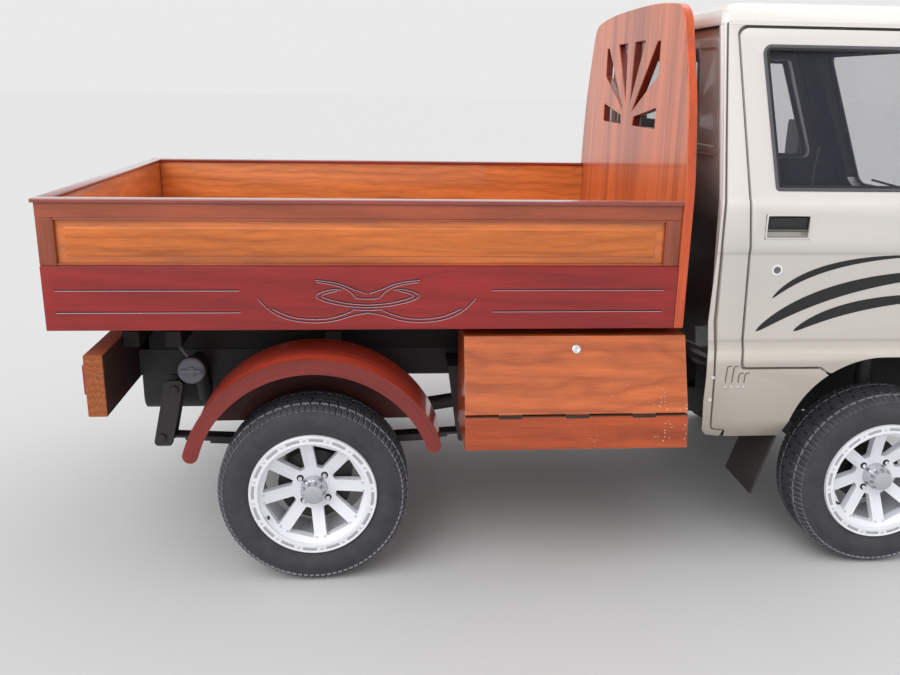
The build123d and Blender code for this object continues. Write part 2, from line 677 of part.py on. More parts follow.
def wheel_housing():
    """The thin liner over the right front wheel, on the line of the arch, and the wall inside it."""
    inner = -HOUSING_INNER_Y
    liner = arch_form(HOUSING_WALL, -800, inner) - arch_form(0, -900, 0)
    liner &= block((600, 1400), (-900, 0), (HOUSING_BOTTOM_Z, 900))
    wall = arch_form(HOUSING_WALL, inner - 1, inner + HOUSING_WALL - 1)
    wall &= block((600, FOOT_WELL_X - 2), (-900, 0), (HOUSING_BOTTOM_Z, 900))
    below = arch_form(HOUSING_WALL, inner - 1, inner + HOUSING_WALL - 1)
    below &= block((FOOT_WELL_X - 4, 1400), (-900, 0), (HOUSING_BOTTOM_Z, 556))
    liner = (liner + wall + below) & cab_form(CAB_WALL)
    return liner - block((400, DOOR_FRONT_X + SWING_GAP), (-720, -DOOR_CLEAR_Y), (640, 900))


def steering_wheel():
    """The wheel the driver holds: a rim, three spokes and a hub, on its column's axis."""
    plane = Plane(origin=STEERING_HUB, z_dir=STEERING_AXIS, x_dir=(0, 1, 0))
    wheel = plane * Torus(STEERING_RADIUS, 13)
    wheel += plane * (Pos(0, 0, -20) * Cylinder(38, 40))
    for angle in (0, 180, 270):
        wheel += plane * (Rot(0, 0, angle) * (Pos(STEERING_RADIUS / 2, 0, -6) * Box(STEERING_RADIUS, 26, 9)))
    return wheel


def dashboard():
    face = outline([(1520, 1062), (1520, 930), (1330, 900), (1285, 980), (1300, 1062, 15)])
    shape = along_y(face, -DOOR_CLEAR_Y, DOOR_CLEAR_Y) & cab_form(CAB_WALL)
    axis = Vector(STEERING_AXIS)
    hub = Vector(STEERING_HUB)
    return shape + rod(hub - axis * (40 + SEAT_GAP), hub - axis * 190, 27)


def cab_fittings():
    save_cab("cab_floor", cab_floor())
    housing = wheel_housing()
    save_cab("wheel_housings", housing, flip(housing))
    save_cab("dashboard", dashboard())
    save_cab("steering_wheel", steering_wheel())
    save_cab("headlamps", headlamp(-1), headlamp(1))
    save_cab("turn_lamps", turn_lamp(-1), turn_lamp(1))
    save_cab("grille", grille_block())
    flap = mud_flap()
    save_cab("mud_flaps", flap, flip(flap))
    save_cab("front_bumper", front_bumper())
    mirror_right = door_mirror()
    save_cab("mirror_right", mirror_right)
    save_cab("mirror_left", flip(mirror_right))


def cab_seats():
    """Two seats, each a cushion and a leaning back."""
    solids = []
    for side in (-1, 1):
        low, high = sorted((side * 85, side * 555))
        cushion = outline([(520, 870), (950, 870, 30), (965, 985, 40), (520, 965, 20)])
        back = outline([(500, 870, 8), (572, 870, 8), (552, 1420, 40), (470, 1420, 30)])
        solids.append(along_y(cushion, low, high) + along_y(back, low, high))
    save_cab("seats", *solids)


def front_bumper():
    """A pressed bumper that wraps round the nose, on two brackets from the frame."""
    tip = cab_nose - PLATE_THICKNESS
    half, wall = 698.0, 22.0
    outer = [
        (1480, -half), (tip - 38, -half, 50), (tip, -600, 60),
        (tip, 600, 60), (tip - 38, half, 50), (1480, half),
    ]
    inner = [
        (1480, half - wall), (tip - 52, half - wall, 35), (tip - wall, 588, 40),
        (tip - wall, -588, 40), (tip - 52, wall - half, 35), (1480, wall - half),
    ]
    shape = along_z(outline(outer + inner), 395, 520)
    for side in (-1, 1):
        rail = (side * RAIL_INNER_Y, side * rail_outer_y)
        shape += block((cab_nose - 110, tip - wall + 5), rail, (412, CAB_LEVELS[0][0] - 3))
    return shape


def mud_flap():
    """The hanging flap behind the right front wheel, wider below the cab's edge."""
    top, low = HOUSING_BOTTOM_Z, CAB_LEVELS[0][0] - 6
    neck = outline([(arch_x - 343, top), (arch_x - 336, top), (arch_x - 412, 230), (arch_x - 420, 234)])
    flap = along_y(neck, -640, -430)
    return flap - block((arch_x - 500, arch_x), (-700, 3 - CAB_LEVELS[0][3] + CAB_WALL), (low, top + 10))


def door_mirror():
    """The outside mirror on the right-hand door: a foot, a bent arm and the head."""
    x, z = 1262.0, 1128.0
    foot = block((x - 30, x + 30), (-700, -695), (z - 22, z + 22))
    arm = rod((x, -699, z), (x, -776, z + 40), 9) + rod((x, -776, z + 36), (x, -776, z + 190), 8)
    head = outline([(-832, z + 70, 20), (-712, z + 70, 20), (-712, z + 262, 20), (-832, z + 262, 20)])
    return foot + arm + along_x(head, x - 18, x + 14)


def plates():
    """Blank number plates, front and rear."""
    rear = rear_axle_x - REAR_BUMPER_X
    mid = REAR_BUMPER_BOTTOM_Z + REAR_BUMPER_HEIGHT / 2
    solids = []
    for x, z in ((front_x - PLATE_THICKNESS, 458.0), (rear - PLATE_THICKNESS, mid)):
        solids.append(block((x, x + PLATE_THICKNESS), (-165, 165), (z - 60, z + 60)))
    return solids


# Bed

def framed_board(length, panels, proud):
    """A board drawn along X, its outer face at y = 0: raised panels above, a plain band below."""
    board = block((0, length), (0, BOARD_THICKNESS), (BED_BOTTOM_Z, board_top_z))
    z0, z1 = lower_board_top_z, board_top_z - TOP_RAIL_HEIGHT
    base = Plane((0, PANEL_RECESS, 0), x_dir=(1, 0, 0), z_dir=(0, -1, 0))
    crown = Plane((0, PANEL_CROWN, 0), x_dir=(1, 0, 0), z_dir=(0, -1, 0))
    for x0, x1 in panels:
        board -= block((x0, x1), (-1, PANEL_RECESS), (z0, z1))
        rows = []
        for plane, inset in ((base, 0), (crown, PANEL_BEVEL)):
            low, high = (x0 + inset, z0 + inset), (x1 - inset, z1 - inset)
            rows.append(plane * outline([low, (high[0], low[1]), high, (low[0], high[1])]))
        board += loft(rows, ruled=True)
    if proud:
        board += block((0, length), (-proud, 0), (BED_BOTTOM_Z, lower_board_top_z))
    return board


def side_board():
    """The right-hand side: a framed raised panel above, a plain board below, a cap on top."""
    x0, x1 = bed_rear_x + CAP_OVERHANG, headboard_x
    board = framed_board(x1 - x0, [(STILE_WIDTH, x1 - x0 - STILE_WIDTH)], LOWER_BOARD_PROUD)
    cap_y = (-BED_WIDTH / 2, -board_y + BOARD_THICKNESS + CAP_OVERHANG)
    cap = block((bed_rear_x, x1), cap_y, (board_top_z, BED_TOP_Z))
    return Pos(x0, -board_y, 0) * board + cap


def headboard():
    """A tall board that tapers to an arched top, pierced with a rising-sun fan."""
    half = BED_WIDTH / 2
    rail_z = BED_TOP_Z
    profile = [
        (half, rail_z + 10), (half - 18, rail_z + 144), (half - 45, rail_z + 275),
        (half - 78, rail_z + 371), HEADBOARD_SHOULDER,
    ]
    side = Spline(*profile, tangents=[(0, 1), (-0.45, 1)])
    turn = Spline(HEADBOARD_SHOULDER, HEADBOARD_CORNER, HEADBOARD_CROWN, tangents=[(-0.45, 1), (-1, 0.12)])
    crown = Spline(HEADBOARD_CROWN, (0, HEADBOARD_TOP_Z), tangents=[(-1, 0.12), (-1, 0)])
    foot = [(0, HEADBOARD_TOP_Z), (0, BED_BOTTOM_Z), (half, BED_BOTTOM_Z), profile[0]]
    edges = [side, turn, crown, Polyline(*foot)]
    half_board = along_x(make_face(edges), headboard_x, headboard_x + HEADBOARD_THICKNESS)
    board = half_board + flip(half_board)
    sun_z, top_z, side = 1388.0, 1668.0, 342.0
    rays = [
        [(78, sun_z), (side, sun_z), (side, sun_z + 66), (88, sun_z + 30)],
        [(66, sun_z + 52), (side, sun_z + 168), (side, top_z - 8), (312, top_z - 8)],
        [(30, sun_z + 78), (172, top_z), (48, top_z)],
    ]
    for ray in rays:
        hole = along_x(outline(ray), headboard_x - 5, headboard_x + HEADBOARD_THICKNESS + 5)
        board = board - hole - flip(hole)
    return board


def bed():
    side = side_board()
    save("bed_sides", side, flip(side))
    save("headboard", headboard())
    inner_y = board_y - BOARD_THICKNESS
    floor_rear = bed_rear_x + CAP_OVERHANG + BOARD_THICKNESS + SWING_GAP
    bearer_top = FLOOR_TOP_Z - FLOOR_THICKNESS
    save("bed_floor", block((floor_rear, headboard_x), (-inner_y, inner_y), (bearer_top, FLOOR_TOP_Z)))
    carrier_top = bearer_top - BEARER_HEIGHT
    bearers = []
    bearer_rear = rear_axle_x - REAR_BUMPER_X + REAR_BUMPER_THICKNESS
    for y in (-420, 420):
        bearers.append(block((bearer_rear, headboard_x), (y - 25, y + 25), (carrier_top, bearer_top)))
    carrier = None
    fore = headboard_x - rear_axle_x - 58
    for x, half in ((-570, 500), (-440, 500), (60, FENDER_INNER_Y), (560, BOX_INNER_Y), (fore, BOX_INNER_Y)):
        cx = rear_axle_x + x
        piece = block((cx - 25, cx + 25), (-half, half), (carrier_top - 50, carrier_top))
        carrier = piece if carrier is None else carrier + piece
    for side in (-1, 1):
        rail = (side * RAIL_INNER_Y, side * rail_outer_y)
        carrier += block((rear_axle_x - 560, rear_axle_x + 720), rail, (REAR_RAIL_TOP_Z, carrier_top))
    for b in bearers:
        carrier += b
    save("bed_bearers", carrier)


def tailgate():
    """The drop tailgate, framed like the sides in two panels."""
    outer = bed_rear_x + CAP_OVERHANG
    inner = outer + BOARD_THICKNESS
    half = board_y - BOARD_THICKNESS - SWING_GAP
    panels = [(STILE_WIDTH, half - STILE_WIDTH / 2), (half + STILE_WIDTH / 2, 2 * half - STILE_WIDTH)]
    gate = Pos(outer, half, 0) * Rot(0, 0, -90) * framed_board(2 * half, panels, 0)
    cap_y = half - CAP_OVERHANG
    gate += block((bed_rear_x, inner + CAP_OVERHANG), (-cap_y, cap_y), (board_top_z, BED_TOP_Z))
    save("tailgate", gate)


def fender():
    """The right-hand rear fender: a bent band with a lip on its outer edge."""
    out, inn, width = FENDER_RADIUS, FENDER_RADIUS - FENDER_BAND, FENDER_SKIN
    cx, cz = rear_axle_x + 9, FENDER_CENTRE_Z

    def band(r0, r1, y0, y1):
        disc = Plane((cx, y0, cz), x_dir=(1, 0, 0), z_dir=(0, -1, 0))
        face = disc * (Circle(r1) - Circle(r0))
        return extrude(face, amount=y1 - y0, dir=(0, 1, 0))

    lip_y = -FENDER_OUTER_Y + FENDER_LIP
    shape = band(out - width, out, -FENDER_OUTER_Y, -FENDER_INNER_Y) + band(inn, out, -FENDER_OUTER_Y, lip_y)
    shape &= block((cx - 500, cx + 500), (-900, 0), (cz + FENDER_FOOT, cz + 500))
    mid = (out + inn) / 2
    for side in (-1, 1):
        tip_x, tip_z = cx + side * sqrt(mid**2 - FENDER_FOOT**2), cz + FENDER_FOOT
        shape += rod((tip_x, -FENDER_OUTER_Y, tip_z), (tip_x, lip_y, tip_z), FENDER_BAND / 2)
    return shape + fender_board(cx, cz, out - width + 1)


def fender_board(cx, cz, radius):
    """The upright board that closes the fender's inner side, level along its lower edge."""
    plane = Plane((cx, -FENDER_INNER_Y - FENDER_SKIN, cz), x_dir=(1, 0, 0), z_dir=(0, -1, 0))
    board = extrude(plane * Circle(radius), amount=FENDER_SKIN, dir=(0, 1, 0))
    return board & block((cx - 500, cx + 500), (-900, 0), (FENDER_BOARD_Z, cz + 500))


def toolbox():
    """The right-hand box, whose sloping front is one lid over its whole length."""
    x0 = rear_axle_x + BOX_REAR
    x1 = x0 + box_length
    wall, low_z = BOX_WALL, BOX_SEAM_Z + LID_SEAM
    slope = (BOX_SEAM_Y - BOX_TOP_Y) / (BOX_TOP_Z - BOX_SEAM_Z)
    seat = wall + SEAT_GAP

    def front_y(z):
        return BOX_TOP_Y + (BOX_TOP_Z - z) * slope

    body = outline([
        (-BOX_INNER_Y, BOX_TOP_Z), (seat - BOX_TOP_Y, BOX_TOP_Z), (seat - BOX_SEAM_Y, BOX_SEAM_Z),
        (-BOX_SEAM_Y, BOX_SEAM_Z), (-BOX_BOTTOM_Y, BOX_BOTTOM_Z), (-BOX_INNER_Y, BOX_BOTTOM_Z),
    ])
    hollow = outline([
        (-BOX_INNER_Y - wall, BOX_TOP_Z - wall), (-BOX_TOP_Y - 80, BOX_TOP_Z - wall),
        (-BOX_SEAM_Y - 80, BOX_SEAM_Z), (-BOX_SEAM_Y + wall, BOX_SEAM_Z),
        (-BOX_BOTTOM_Y + wall, BOX_BOTTOM_Z + wall), (-BOX_INNER_Y - wall, BOX_BOTTOM_Z + wall),
    ])
    box = along_x(body, x0, x1) - along_x(hollow, x0 + wall, x1 - wall)
    lid = along_x(outline([
        (-front_y(BOX_TOP_Z), BOX_TOP_Z), (-front_y(low_z), low_z),
        (wall - front_y(low_z), low_z), (wall - front_y(BOX_TOP_Z), BOX_TOP_Z),
    ]), x0, x1)
    pivot_y = -front_y(low_z)
    for share in (0.2, 0.5, 0.8):
        cx = x0 + box_length * share
        lid += rod((cx - 35, pivot_y, low_z), (cx + 35, pivot_y, low_z), LID_HINGE_RADIUS)
        top = low_z - LID_HINGE_RADIUS - SEAT_GAP
        box += block((cx - 35, cx + 35), (pivot_y - 4, pivot_y + 4), (BOX_SEAM_Z - 6, top))
    return box, lid


def bed_fittings():
    arch = fender()
    save("rear_fenders", arch, flip(arch))
    box, lid = toolbox()
    save("toolboxes", box, flip(box))
    save("toolbox_lid_right", lid)
    save("toolbox_lid_left", flip(lid))
    x = rear_axle_x - REAR_BUMPER_X
    z0, z1 = REAR_BUMPER_BOTTOM_Z, REAR_BUMPER_BOTTOM_Z + REAR_BUMPER_HEIGHT
    tail = []
    for side in (-1, 1):
        tail.append(block((x - 26, x), (side * 430, side * 640), (z0 + 48, z1 - 48)))
    save("tail_lamps", *tail)
    save("plates", *plates())
    save("rear_bumper", block((x, x + REAR_BUMPER_THICKNESS), (-BED_WIDTH / 2, BED_WIDTH / 2), (z0, z1)))


wheel_nodes()
frame()
rear_axle()
spring = leaf_spring()
save("leaf_springs", spring, flip(spring))
front_suspension()
upright = knuckle()
save("knuckle_right", upright)
save("knuckle_left", flip(upright))
drivetrain()
exhaust()
fuel_tank()
cab()
cab_fittings()
cab_seats()
bed()
tailgate()
bed_fittings()
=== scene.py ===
"""Looks for the small truck: varnished timber bed, champagne cab, alloy wheels on blocky tyres."""

from math import atan2, cos, hypot, pi, radians, sin

import bpy
from mathutils import Matrix, Vector


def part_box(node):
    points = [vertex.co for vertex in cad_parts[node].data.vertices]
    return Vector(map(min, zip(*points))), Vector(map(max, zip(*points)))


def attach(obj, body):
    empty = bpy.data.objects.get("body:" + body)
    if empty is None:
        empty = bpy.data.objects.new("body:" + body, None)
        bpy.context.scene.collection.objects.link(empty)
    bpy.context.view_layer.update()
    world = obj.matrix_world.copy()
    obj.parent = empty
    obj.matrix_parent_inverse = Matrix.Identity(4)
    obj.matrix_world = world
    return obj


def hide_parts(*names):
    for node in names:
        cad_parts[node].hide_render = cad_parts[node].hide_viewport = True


bl_info = {
    "name": "Small truck with a timber bed",
    "version": (1, 0, 0),
    "blender": (4, 5, 0),
    "location": "View3D > Sidebar > Truck",
    "description": "Builds the visible pieces of the small truck on its packed frame",
    "category": "Object",
}

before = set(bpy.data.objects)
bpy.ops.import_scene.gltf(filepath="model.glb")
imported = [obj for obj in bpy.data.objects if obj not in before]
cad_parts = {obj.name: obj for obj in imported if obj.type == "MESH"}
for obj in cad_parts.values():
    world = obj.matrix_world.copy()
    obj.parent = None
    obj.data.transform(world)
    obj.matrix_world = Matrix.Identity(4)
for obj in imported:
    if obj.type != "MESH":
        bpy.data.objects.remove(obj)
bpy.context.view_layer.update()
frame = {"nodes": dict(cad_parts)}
SIDES = ((-1, "right"), (1, "left"))
REAR_AXLE, FRONT_AXLE, AXLE_HEIGHT = -0.8405, 0.9995, 0.295
FRONT_WHEEL_Y, REAR_WHEEL_Y = 0.6175, 0.6375
# All wheels stand turned a little, as in the photograph
WHEEL_TURN = radians(7)
CORNERS = (
    ("front_right", FRONT_AXLE, -FRONT_WHEEL_Y), ("front_left", FRONT_AXLE, FRONT_WHEEL_Y),
    ("rear_right", REAR_AXLE, -REAR_WHEEL_Y), ("rear_left", REAR_AXLE, REAR_WHEEL_Y),
)
# Middle of the fenders' arc: along the truck and up
FENDER_MIDDLE = (REAR_AXLE + 0.009, 0.326)
# Half width of the cab's skin by height, as in the frame
SKIN = (
    (0.440, 0.647), (0.500, 0.676), (0.705, 0.694), (0.742, 0.693), (0.772, 0.683),
    (1.045, 0.689), (1.062, 0.695), (1.196, 0.694), (1.208, 0.688), (1.706, 0.613),
)
# Slope of the windscreen's plane, and the height that it starts from
SCREEN_SLOPE, SCREEN_FOOT = 0.428, 1.045
# The bed's walls: heights of board, panels, rail and cap, and how thick and wide their planks are
BOARD_Z, FIELD_Z, RAIL_Z, CAP_Z = (0.815, 1.005), (1.005, 1.142), (1.142, 1.184), (1.184, 1.196)
BED_REAR, BED_FRONT, BED_SIDE, GATE_HALF = -1.5895, 0.2575, 0.692, 0.654
PLANK, STILE, CAP_REACH, CAP_ROUND, BOARD_ROUND = 0.03, 0.048, (-0.008, 0.038), 0.0035, 0.0026
# How far in from the outer face the stiles and the panels start and end
STILE_DEPTH, FIELD_DEPTH = (0.0004, 0.0296), (0.013, 0.029)
# How light the cab's paint looks by height: painted highlights on the lower ledge, the belt and the upper cab, painted
# shade in the creases and low down, browned low down by dirt
PAINTED_LIGHT_BANDS = (
    (0.440, 0.76), (0.500, 0.86), (0.700, 0.92), (0.714, 1.14), (0.736, 1.18), (0.746, 1.02), (0.764, 0.90),
    (0.7705, 0.74), (0.777, 0.96), (0.960, 0.99), (1.036, 1.03), (1.0435, 0.78), (1.050, 1.00), (1.070, 1.05),
    (1.170, 1.12), (1.196, 1.30), (1.215, 1.24), (1.700, 1.28), (1.760, 1.20),
)
FINISH = {}


def srgb(r, g, b):
    """A screen colour (0-255) as the linear colour that shaders use."""
    return tuple((c / 255 / 12.92) if c <= 10 else ((c / 255 + 0.055) / 1.055) ** 2.4 for c in (r, g, b))


def colour(name, description, value):
    return bpy.props.FloatVectorProperty(
        name=name, description=description, subtype="COLOR", size=3, min=0, max=1, default=value)


def size(name, description, value):
    return bpy.props.FloatProperty(name=name, description=description, unit="LENGTH", default=value, min=0.0)


class TruckFinishes(bpy.types.PropertyGroup):
    """Colours that a user may change."""
    cab: colour("Cab paint", "Champagne body colour", srgb(210, 205, 200))
    panel: colour("Raised panel", "Pale timber of the raised panels", srgb(210, 112, 40))
    frame: colour("Panel frame", "Timber of rails and stiles", srgb(172, 80, 44))
    board: colour("Lower board", "Dark red timber of the lower boards", srgb(152, 32, 30))
    cap: colour("Cap rail", "Timber of the cap rails", srgb(150, 58, 50))
    fender: colour("Fender", "Bent timber of the rear fenders", srgb(140, 50, 36))
    box: colour("Toolbox", "Figured timber of the toolboxes", srgb(196, 98, 44))
    deck: colour("Bed inside", "Timber inside the bed", srgb(214, 118, 58))
    stripe: colour("Door stripes", "Sweeping stripes on the doors", srgb(20, 18, 22))


class TruckSizes(bpy.types.PropertyGroup):
    """Sizes that a user may change."""
    groove: size("Carved line", "Width of the carved lines", 0.005)
    tread: size("Tread depth", "Height of the tyre's blocks", 0.0075)
    edge: size("Timber edge", "Rounding on the timber's edges", 0.0022)


# Materials

def shader(name, base, rough, metal=0.0, coat=0.0, **sockets):
    """A material with one Principled shader; returns it with its node tree and its shader."""
    mat = bpy.data.materials.new(name)
    mat.use_nodes = True
    tree = mat.node_tree
    bsdf = tree.nodes["Principled BSDF"]
    plain = {"Base Color": (*base, 1), "Roughness": rough, "Metallic": metal, "Coat Weight": coat,
             "Coat Roughness": 0.06}
    for key, value in {**plain, **sockets}.items():
        bsdf.inputs[key].default_value = value
    return mat, tree, bsdf


def node(tree, kind, *sources, **values):
    """A node with sources in its first sockets, and settings (small letters) and named sockets (capitals) set."""
    made = tree.nodes.new(kind)
    for key, value in values.items():
        if key.islower():
            setattr(made, key, value)
        else:
            made.inputs[key.replace("_", " ")].default_value = value
    for socket, source in zip(made.inputs, sources):
        if isinstance(source, bpy.types.NodeSocket):
            tree.links.new(source, socket)
        elif source is not None:
            socket.default_value = source
    return made


def calc(tree, operation, *sources, **values):
    return node(tree, "ShaderNodeMath", *sources, operation=operation, **values).outputs[0]


def vector_calc(tree, operation, *sources, **values):
    return node(tree, "ShaderNodeVectorMath", *sources, operation=operation, **values)


def noise(tree, at, scale, detail, rough=0.5, distortion=0.0):
    made = node(tree, "ShaderNodeTexNoise", at, Scale=scale, Detail=detail, Roughness=rough, Distortion=distortion)
    return made.outputs["Fac"]


def wave(tree, at, scale, distortion, **values):
    return node(tree, "ShaderNodeTexWave", at, Scale=scale, Distortion=distortion, **values).outputs["Fac"]


def xyz(tree, at):
    return node(tree, "ShaderNodeSeparateXYZ", at).outputs


def coords(tree, scale=(1, 1, 1), arch=False):
    """Object coordinates, bent round the fenders' middle if asked, stretched."""
    source = node(tree, "ShaderNodeTexCoord").outputs["Object"]
    return node(tree, "ShaderNodeMapping", bent(tree, source) if arch else source, Scale=scale).outputs[0]


def bent(tree, at):
    """Place round the fender's arc, distance from its middle, and place across."""
    middle = (-FENDER_MIDDLE[0], 0, -FENDER_MIDDLE[1])
    x, y, z = xyz(tree, node(tree, "ShaderNodeMapping", at, Location=middle).outputs[0])
    along = calc(tree, "MULTIPLY", calc(tree, "ARCTAN2", z, x), 0.4)
    flat = node(tree, "ShaderNodeCombineXYZ", x, z).outputs[0]
    return node(tree, "ShaderNodeCombineXYZ", along, vector_calc(tree, "LENGTH", flat).outputs["Value"], y).outputs[0]


def ramp(tree, fac, *stops):
    """A colour ramp; a stop is a place and a colour, or a number for a grey."""
    made = node(tree, "ShaderNodeValToRGB", fac)
    elements = made.color_ramp.elements
    while len(elements) < len(stops):
        elements.new(0.5)
    for element, (place, tint) in zip(elements, stops):
        element.position = place
        element.color = (*(tint if isinstance(tint, tuple) else (tint,) * 3), 1)
    return made.outputs["Color"]


def mix(tree, a, b, fac, blend="MIX"):
    """Mixes two colours, each a socket or a tuple; the node's colour sockets are its seventh and eighth."""
    a, b = ((*tint, 1) if isinstance(tint, tuple) else tint for tint in (a, b))
    made = node(tree, "ShaderNodeMix", fac, *[None] * 5, a, b, data_type="RGBA", blend_type=blend)
    return made.outputs[2]


def times(tree, under, fac, strength, *stops):
    return mix(tree, under, ramp(tree, fac, *stops), strength, "MULTIPLY")


def spread(tree, value, low, high, start=0.0, end=1.0):
    """Maps a value that runs from start to end onto low to high."""
    return node(tree, "ShaderNodeMapRange", value, start, end, low, high).outputs[0]


def wire(tree, bsdf, tint, rough=None, height=None, distance=0.0, strength=0.5):
    """Links colour, roughness and relief to the shader."""
    tree.links.new(tint, bsdf.inputs["Base Color"])
    if rough is not None:
        tree.links.new(rough, bsdf.inputs["Roughness"])
    if height is not None:
        made = node(tree, "ShaderNodeBump", Strength=strength, Distance=distance)
        tree.links.new(height, made.inputs["Height"])
        tree.links.new(made.outputs["Normal"], bsdf.inputs["Normal"])


def shade(tint, share):
    return tuple(max(0.0, min(1.0, c * share)) for c in tint)


def timber(name, tint, run, figure, rough=0.3, coat=0.6, flame=0.0, strips=0.0, knots=False, chips=False):
    """Varnished timber whose grain runs along an axis, in glued strips if a strip width is given."""
    mat, tree, bsdf = shader(name, tint, rough, coat=coat)
    bsdf.inputs["Specular IOR Level"].default_value = 0.45
    arch = run == "ARCH"
    lie = "X" if arch else run
    along = coords(tree, tuple(1.3 if axis == lie else 17 for axis in "XYZ"), arch)
    fine_at = coords(tree, tuple(1.3 * 2.4 if axis == lie else 17 * 3.2 for axis in "XYZ"), arch)
    plain = coords(tree, arch=arch)
    if strips:
        strip = calc(tree, "FLOOR", calc(tree, "DIVIDE", xyz(tree, plain)[1], strips))
        cell = node(tree, "ShaderNodeTexWhiteNoise", None, strip, noise_dimensions="1D")
        shift = vector_calc(tree, "SCALE", cell.outputs["Color"], Scale=40.0).outputs[0]
        along, fine_at = (vector_calc(tree, "ADD", held, shift).outputs[0] for held in (along, fine_at))
    cloud = noise(tree, along, 1.1, 7.0, 0.62, 0.9)
    fine = noise(tree, fine_at, 3.0, 8.0, 0.72, 0.25)
    rings = wave(tree, along, 0.55, 9.0, Detail=4.0, Detail_Scale=0.8, Detail_Roughness=0.6, bands_direction="DIAGONAL")
    body = ramp(tree, cloud, (0.28, shade(tint, 0.82)), (0.5, tint), (0.74, shade(tint, 1.14)))
    made = mix(tree, body, ramp(tree, rings, (0.0, shade(tint, 0.55)), (0.55, tint), (1.0, shade(tint, 1.2))), figure)
    made = times(tree, made, noise(tree, plain, 2.6, 3.0), 0.55, (0.3, (0.80, 0.76, 0.74)), (0.62, (1.06, 1.05, 1.03)))
    made = times(tree, made, fine, 0.5, (0.36, (0.62, 0.55, 0.5)), (0.58, 1))
    if strips:
        tones = (0.0, (0.62, 0.5, 0.5)), (0.5, (0.95, 0.9, 0.9)), (1.0, (1.18, 1.16, 1.1))
        made = times(tree, made, cell.outputs["Value"], 0.8, *tones)
    if knots:
        spots = node(tree, "ShaderNodeTexVoronoi", coords(tree, (2.2, 5, 5), arch), Scale=1.0, Randomness=1.0)
        tones = (0.0, (0.35, 0.2, 0.15)), (0.045, (0.7, 0.55, 0.5)), (0.10, 1)
        made = times(tree, made, spots.outputs["Distance"], 0.9, *tones)
    if flame:
        at = coords(tree, tuple(2.2 if axis == lie else 6.5 for axis in "XYZ"), arch)
        nested = wave(tree, at, 1.5, 10.0, Detail=2.5, Detail_Scale=0.9, Detail_Roughness=0.55,
                      wave_type="RINGS", rings_direction=lie)
        tones = ((0.0, (0.80, 0.71, 0.62)), (0.16, (0.94, 0.91, 0.88)), (0.6, (1.04, 1.04, 1.02)),
                 (1.0, (1.10, 1.12, 1.10)))
        made = times(tree, made, nested, flame, *tones)
    if chips:
        made = road_chips(tree, made)
    wire(tree, bsdf, made, spread(tree, fine, rough - 0.07, rough + 0.14), fine, 0.0006, 0.35)
    return mat


def road_chips(tree, under):
    """Small pale chips where stones from the front wheel strike the toolbox."""
    at = coords(tree)
    specks = node(tree, "ShaderNodeTexVoronoi", at, Scale=85.0, Randomness=1.0).outputs["Distance"]
    x, _, z = xyz(tree, at)
    share = spread(tree, x, 0.0, 1.0, -0.12, 0.24)
    for other in (
        spread(tree, z, 0.0, 1.0, 0.72, 0.58), ramp(tree, specks, (0.10, 1), (0.20, 0)),
        ramp(tree, noise(tree, at, 16.0, 3.0), (0.50, 0), (0.60, 1)),
    ):
        share = calc(tree, "MULTIPLY", share, other)
    return mix(tree, under, srgb(232, 190, 150), share)


def end_grain(name, tint):
    """Sawn end of a beam: speckled, matt and darker in the pores."""
    mat, tree, bsdf = shader(name, tint, 0.7)
    speck = noise(tree, coords(tree), 160.0, 5.0, 0.7)
    rings = wave(tree, coords(tree), 22.0, 5.0, Detail=3.0, wave_type="RINGS")
    base = mix(tree, tint, ramp(tree, speck, (0.38, shade(tint, 0.45)), (0.6, shade(tint, 1.25))), 0.7)
    base = times(tree, base, rings, 0.6, (0.0, (0.7, 0.66, 0.62)), (1.0, 1.05))
    wire(tree, bsdf, base, None, speck, 0.001)
    return mat


def worn(name, tint, rough, metal, coat, dusty, dust=(0.25, 0.22, 0.19), scale=9.0, grain=240.0, depth=0.0003):
    """A finish with cloudy dust and a fine surface grain."""
    mat, tree, bsdf = shader(name, tint, rough, metal, coat)
    at = coords(tree)
    cloud = noise(tree, at, scale, 6.0, 0.65)
    share = calc(tree, "MULTIPLY", spread(tree, cloud, -0.25, 1.0), dusty, use_clamp=True)
    uneven = spread(tree, cloud, max(0.02, rough - 0.12), min(1.0, rough + 0.16))
    wire(tree, bsdf, mix(tree, tint, dust, share), uneven, noise(tree, at, grain, 3.0, 0.6), depth, 0.4)
    return mat


def metallic_paint(name, tint):
    """Champagne paint: fine flakes under a clear coat, painted highlights and painted shade in bands by height, and
    road dust low down.
    """
    mat, tree, bsdf = shader(name, tint, 0.36, 0.28, 0.75)
    at = coords(tree)
    flakes = node(tree, "ShaderNodeTexVoronoi", at, Scale=900.0).outputs["Color"]
    cloud = noise(tree, at, 3.0, 5.0, 0.6)
    base = mix(tree, tint, ramp(tree, flakes, (0.0, shade(tint, 0.86)), (1.0, shade(tint, 1.12))), 0.5)
    z = xyz(tree, at)[2]
    dirt = calc(tree, "MULTIPLY", spread(tree, z, 0.55, 0.0, 0.45, 0.80), cloud)
    # Painted highlights and painted shade in bands by height
    low, high = PAINTED_LIGHT_BANDS[0][0], PAINTED_LIGHT_BANDS[-1][0]
    bands = [((at_z - low) / (high - low), painted_light_and_soil(at_z, tone)) for at_z, tone in PAINTED_LIGHT_BANDS]
    # A ramp can't hold more than 1: it holds half the tone, which is then doubled
    halved = times(tree, base, spread(tree, z, 0.0, 1.0, low, high), 1.0, *bands)
    lit_and_shaded = mix(tree, halved, (2.0, 2.0, 2.0), 1.0, "MULTIPLY")
    wire(tree, bsdf, mix(tree, lit_and_shaded, srgb(160, 142, 120), dirt), spread(tree, cloud, 0.30, 0.42))
    return mat


def painted_light_and_soil(z, tone):
    """Half a band's tone of painted light and shade, browner low down with road dirt."""
    brown = max(0.0, min(1.0, (1.05 - z) / 0.4))
    return tuple(tone * 0.5 * (1 - share * brown) for share in (0.06, 0.09, 0.15))


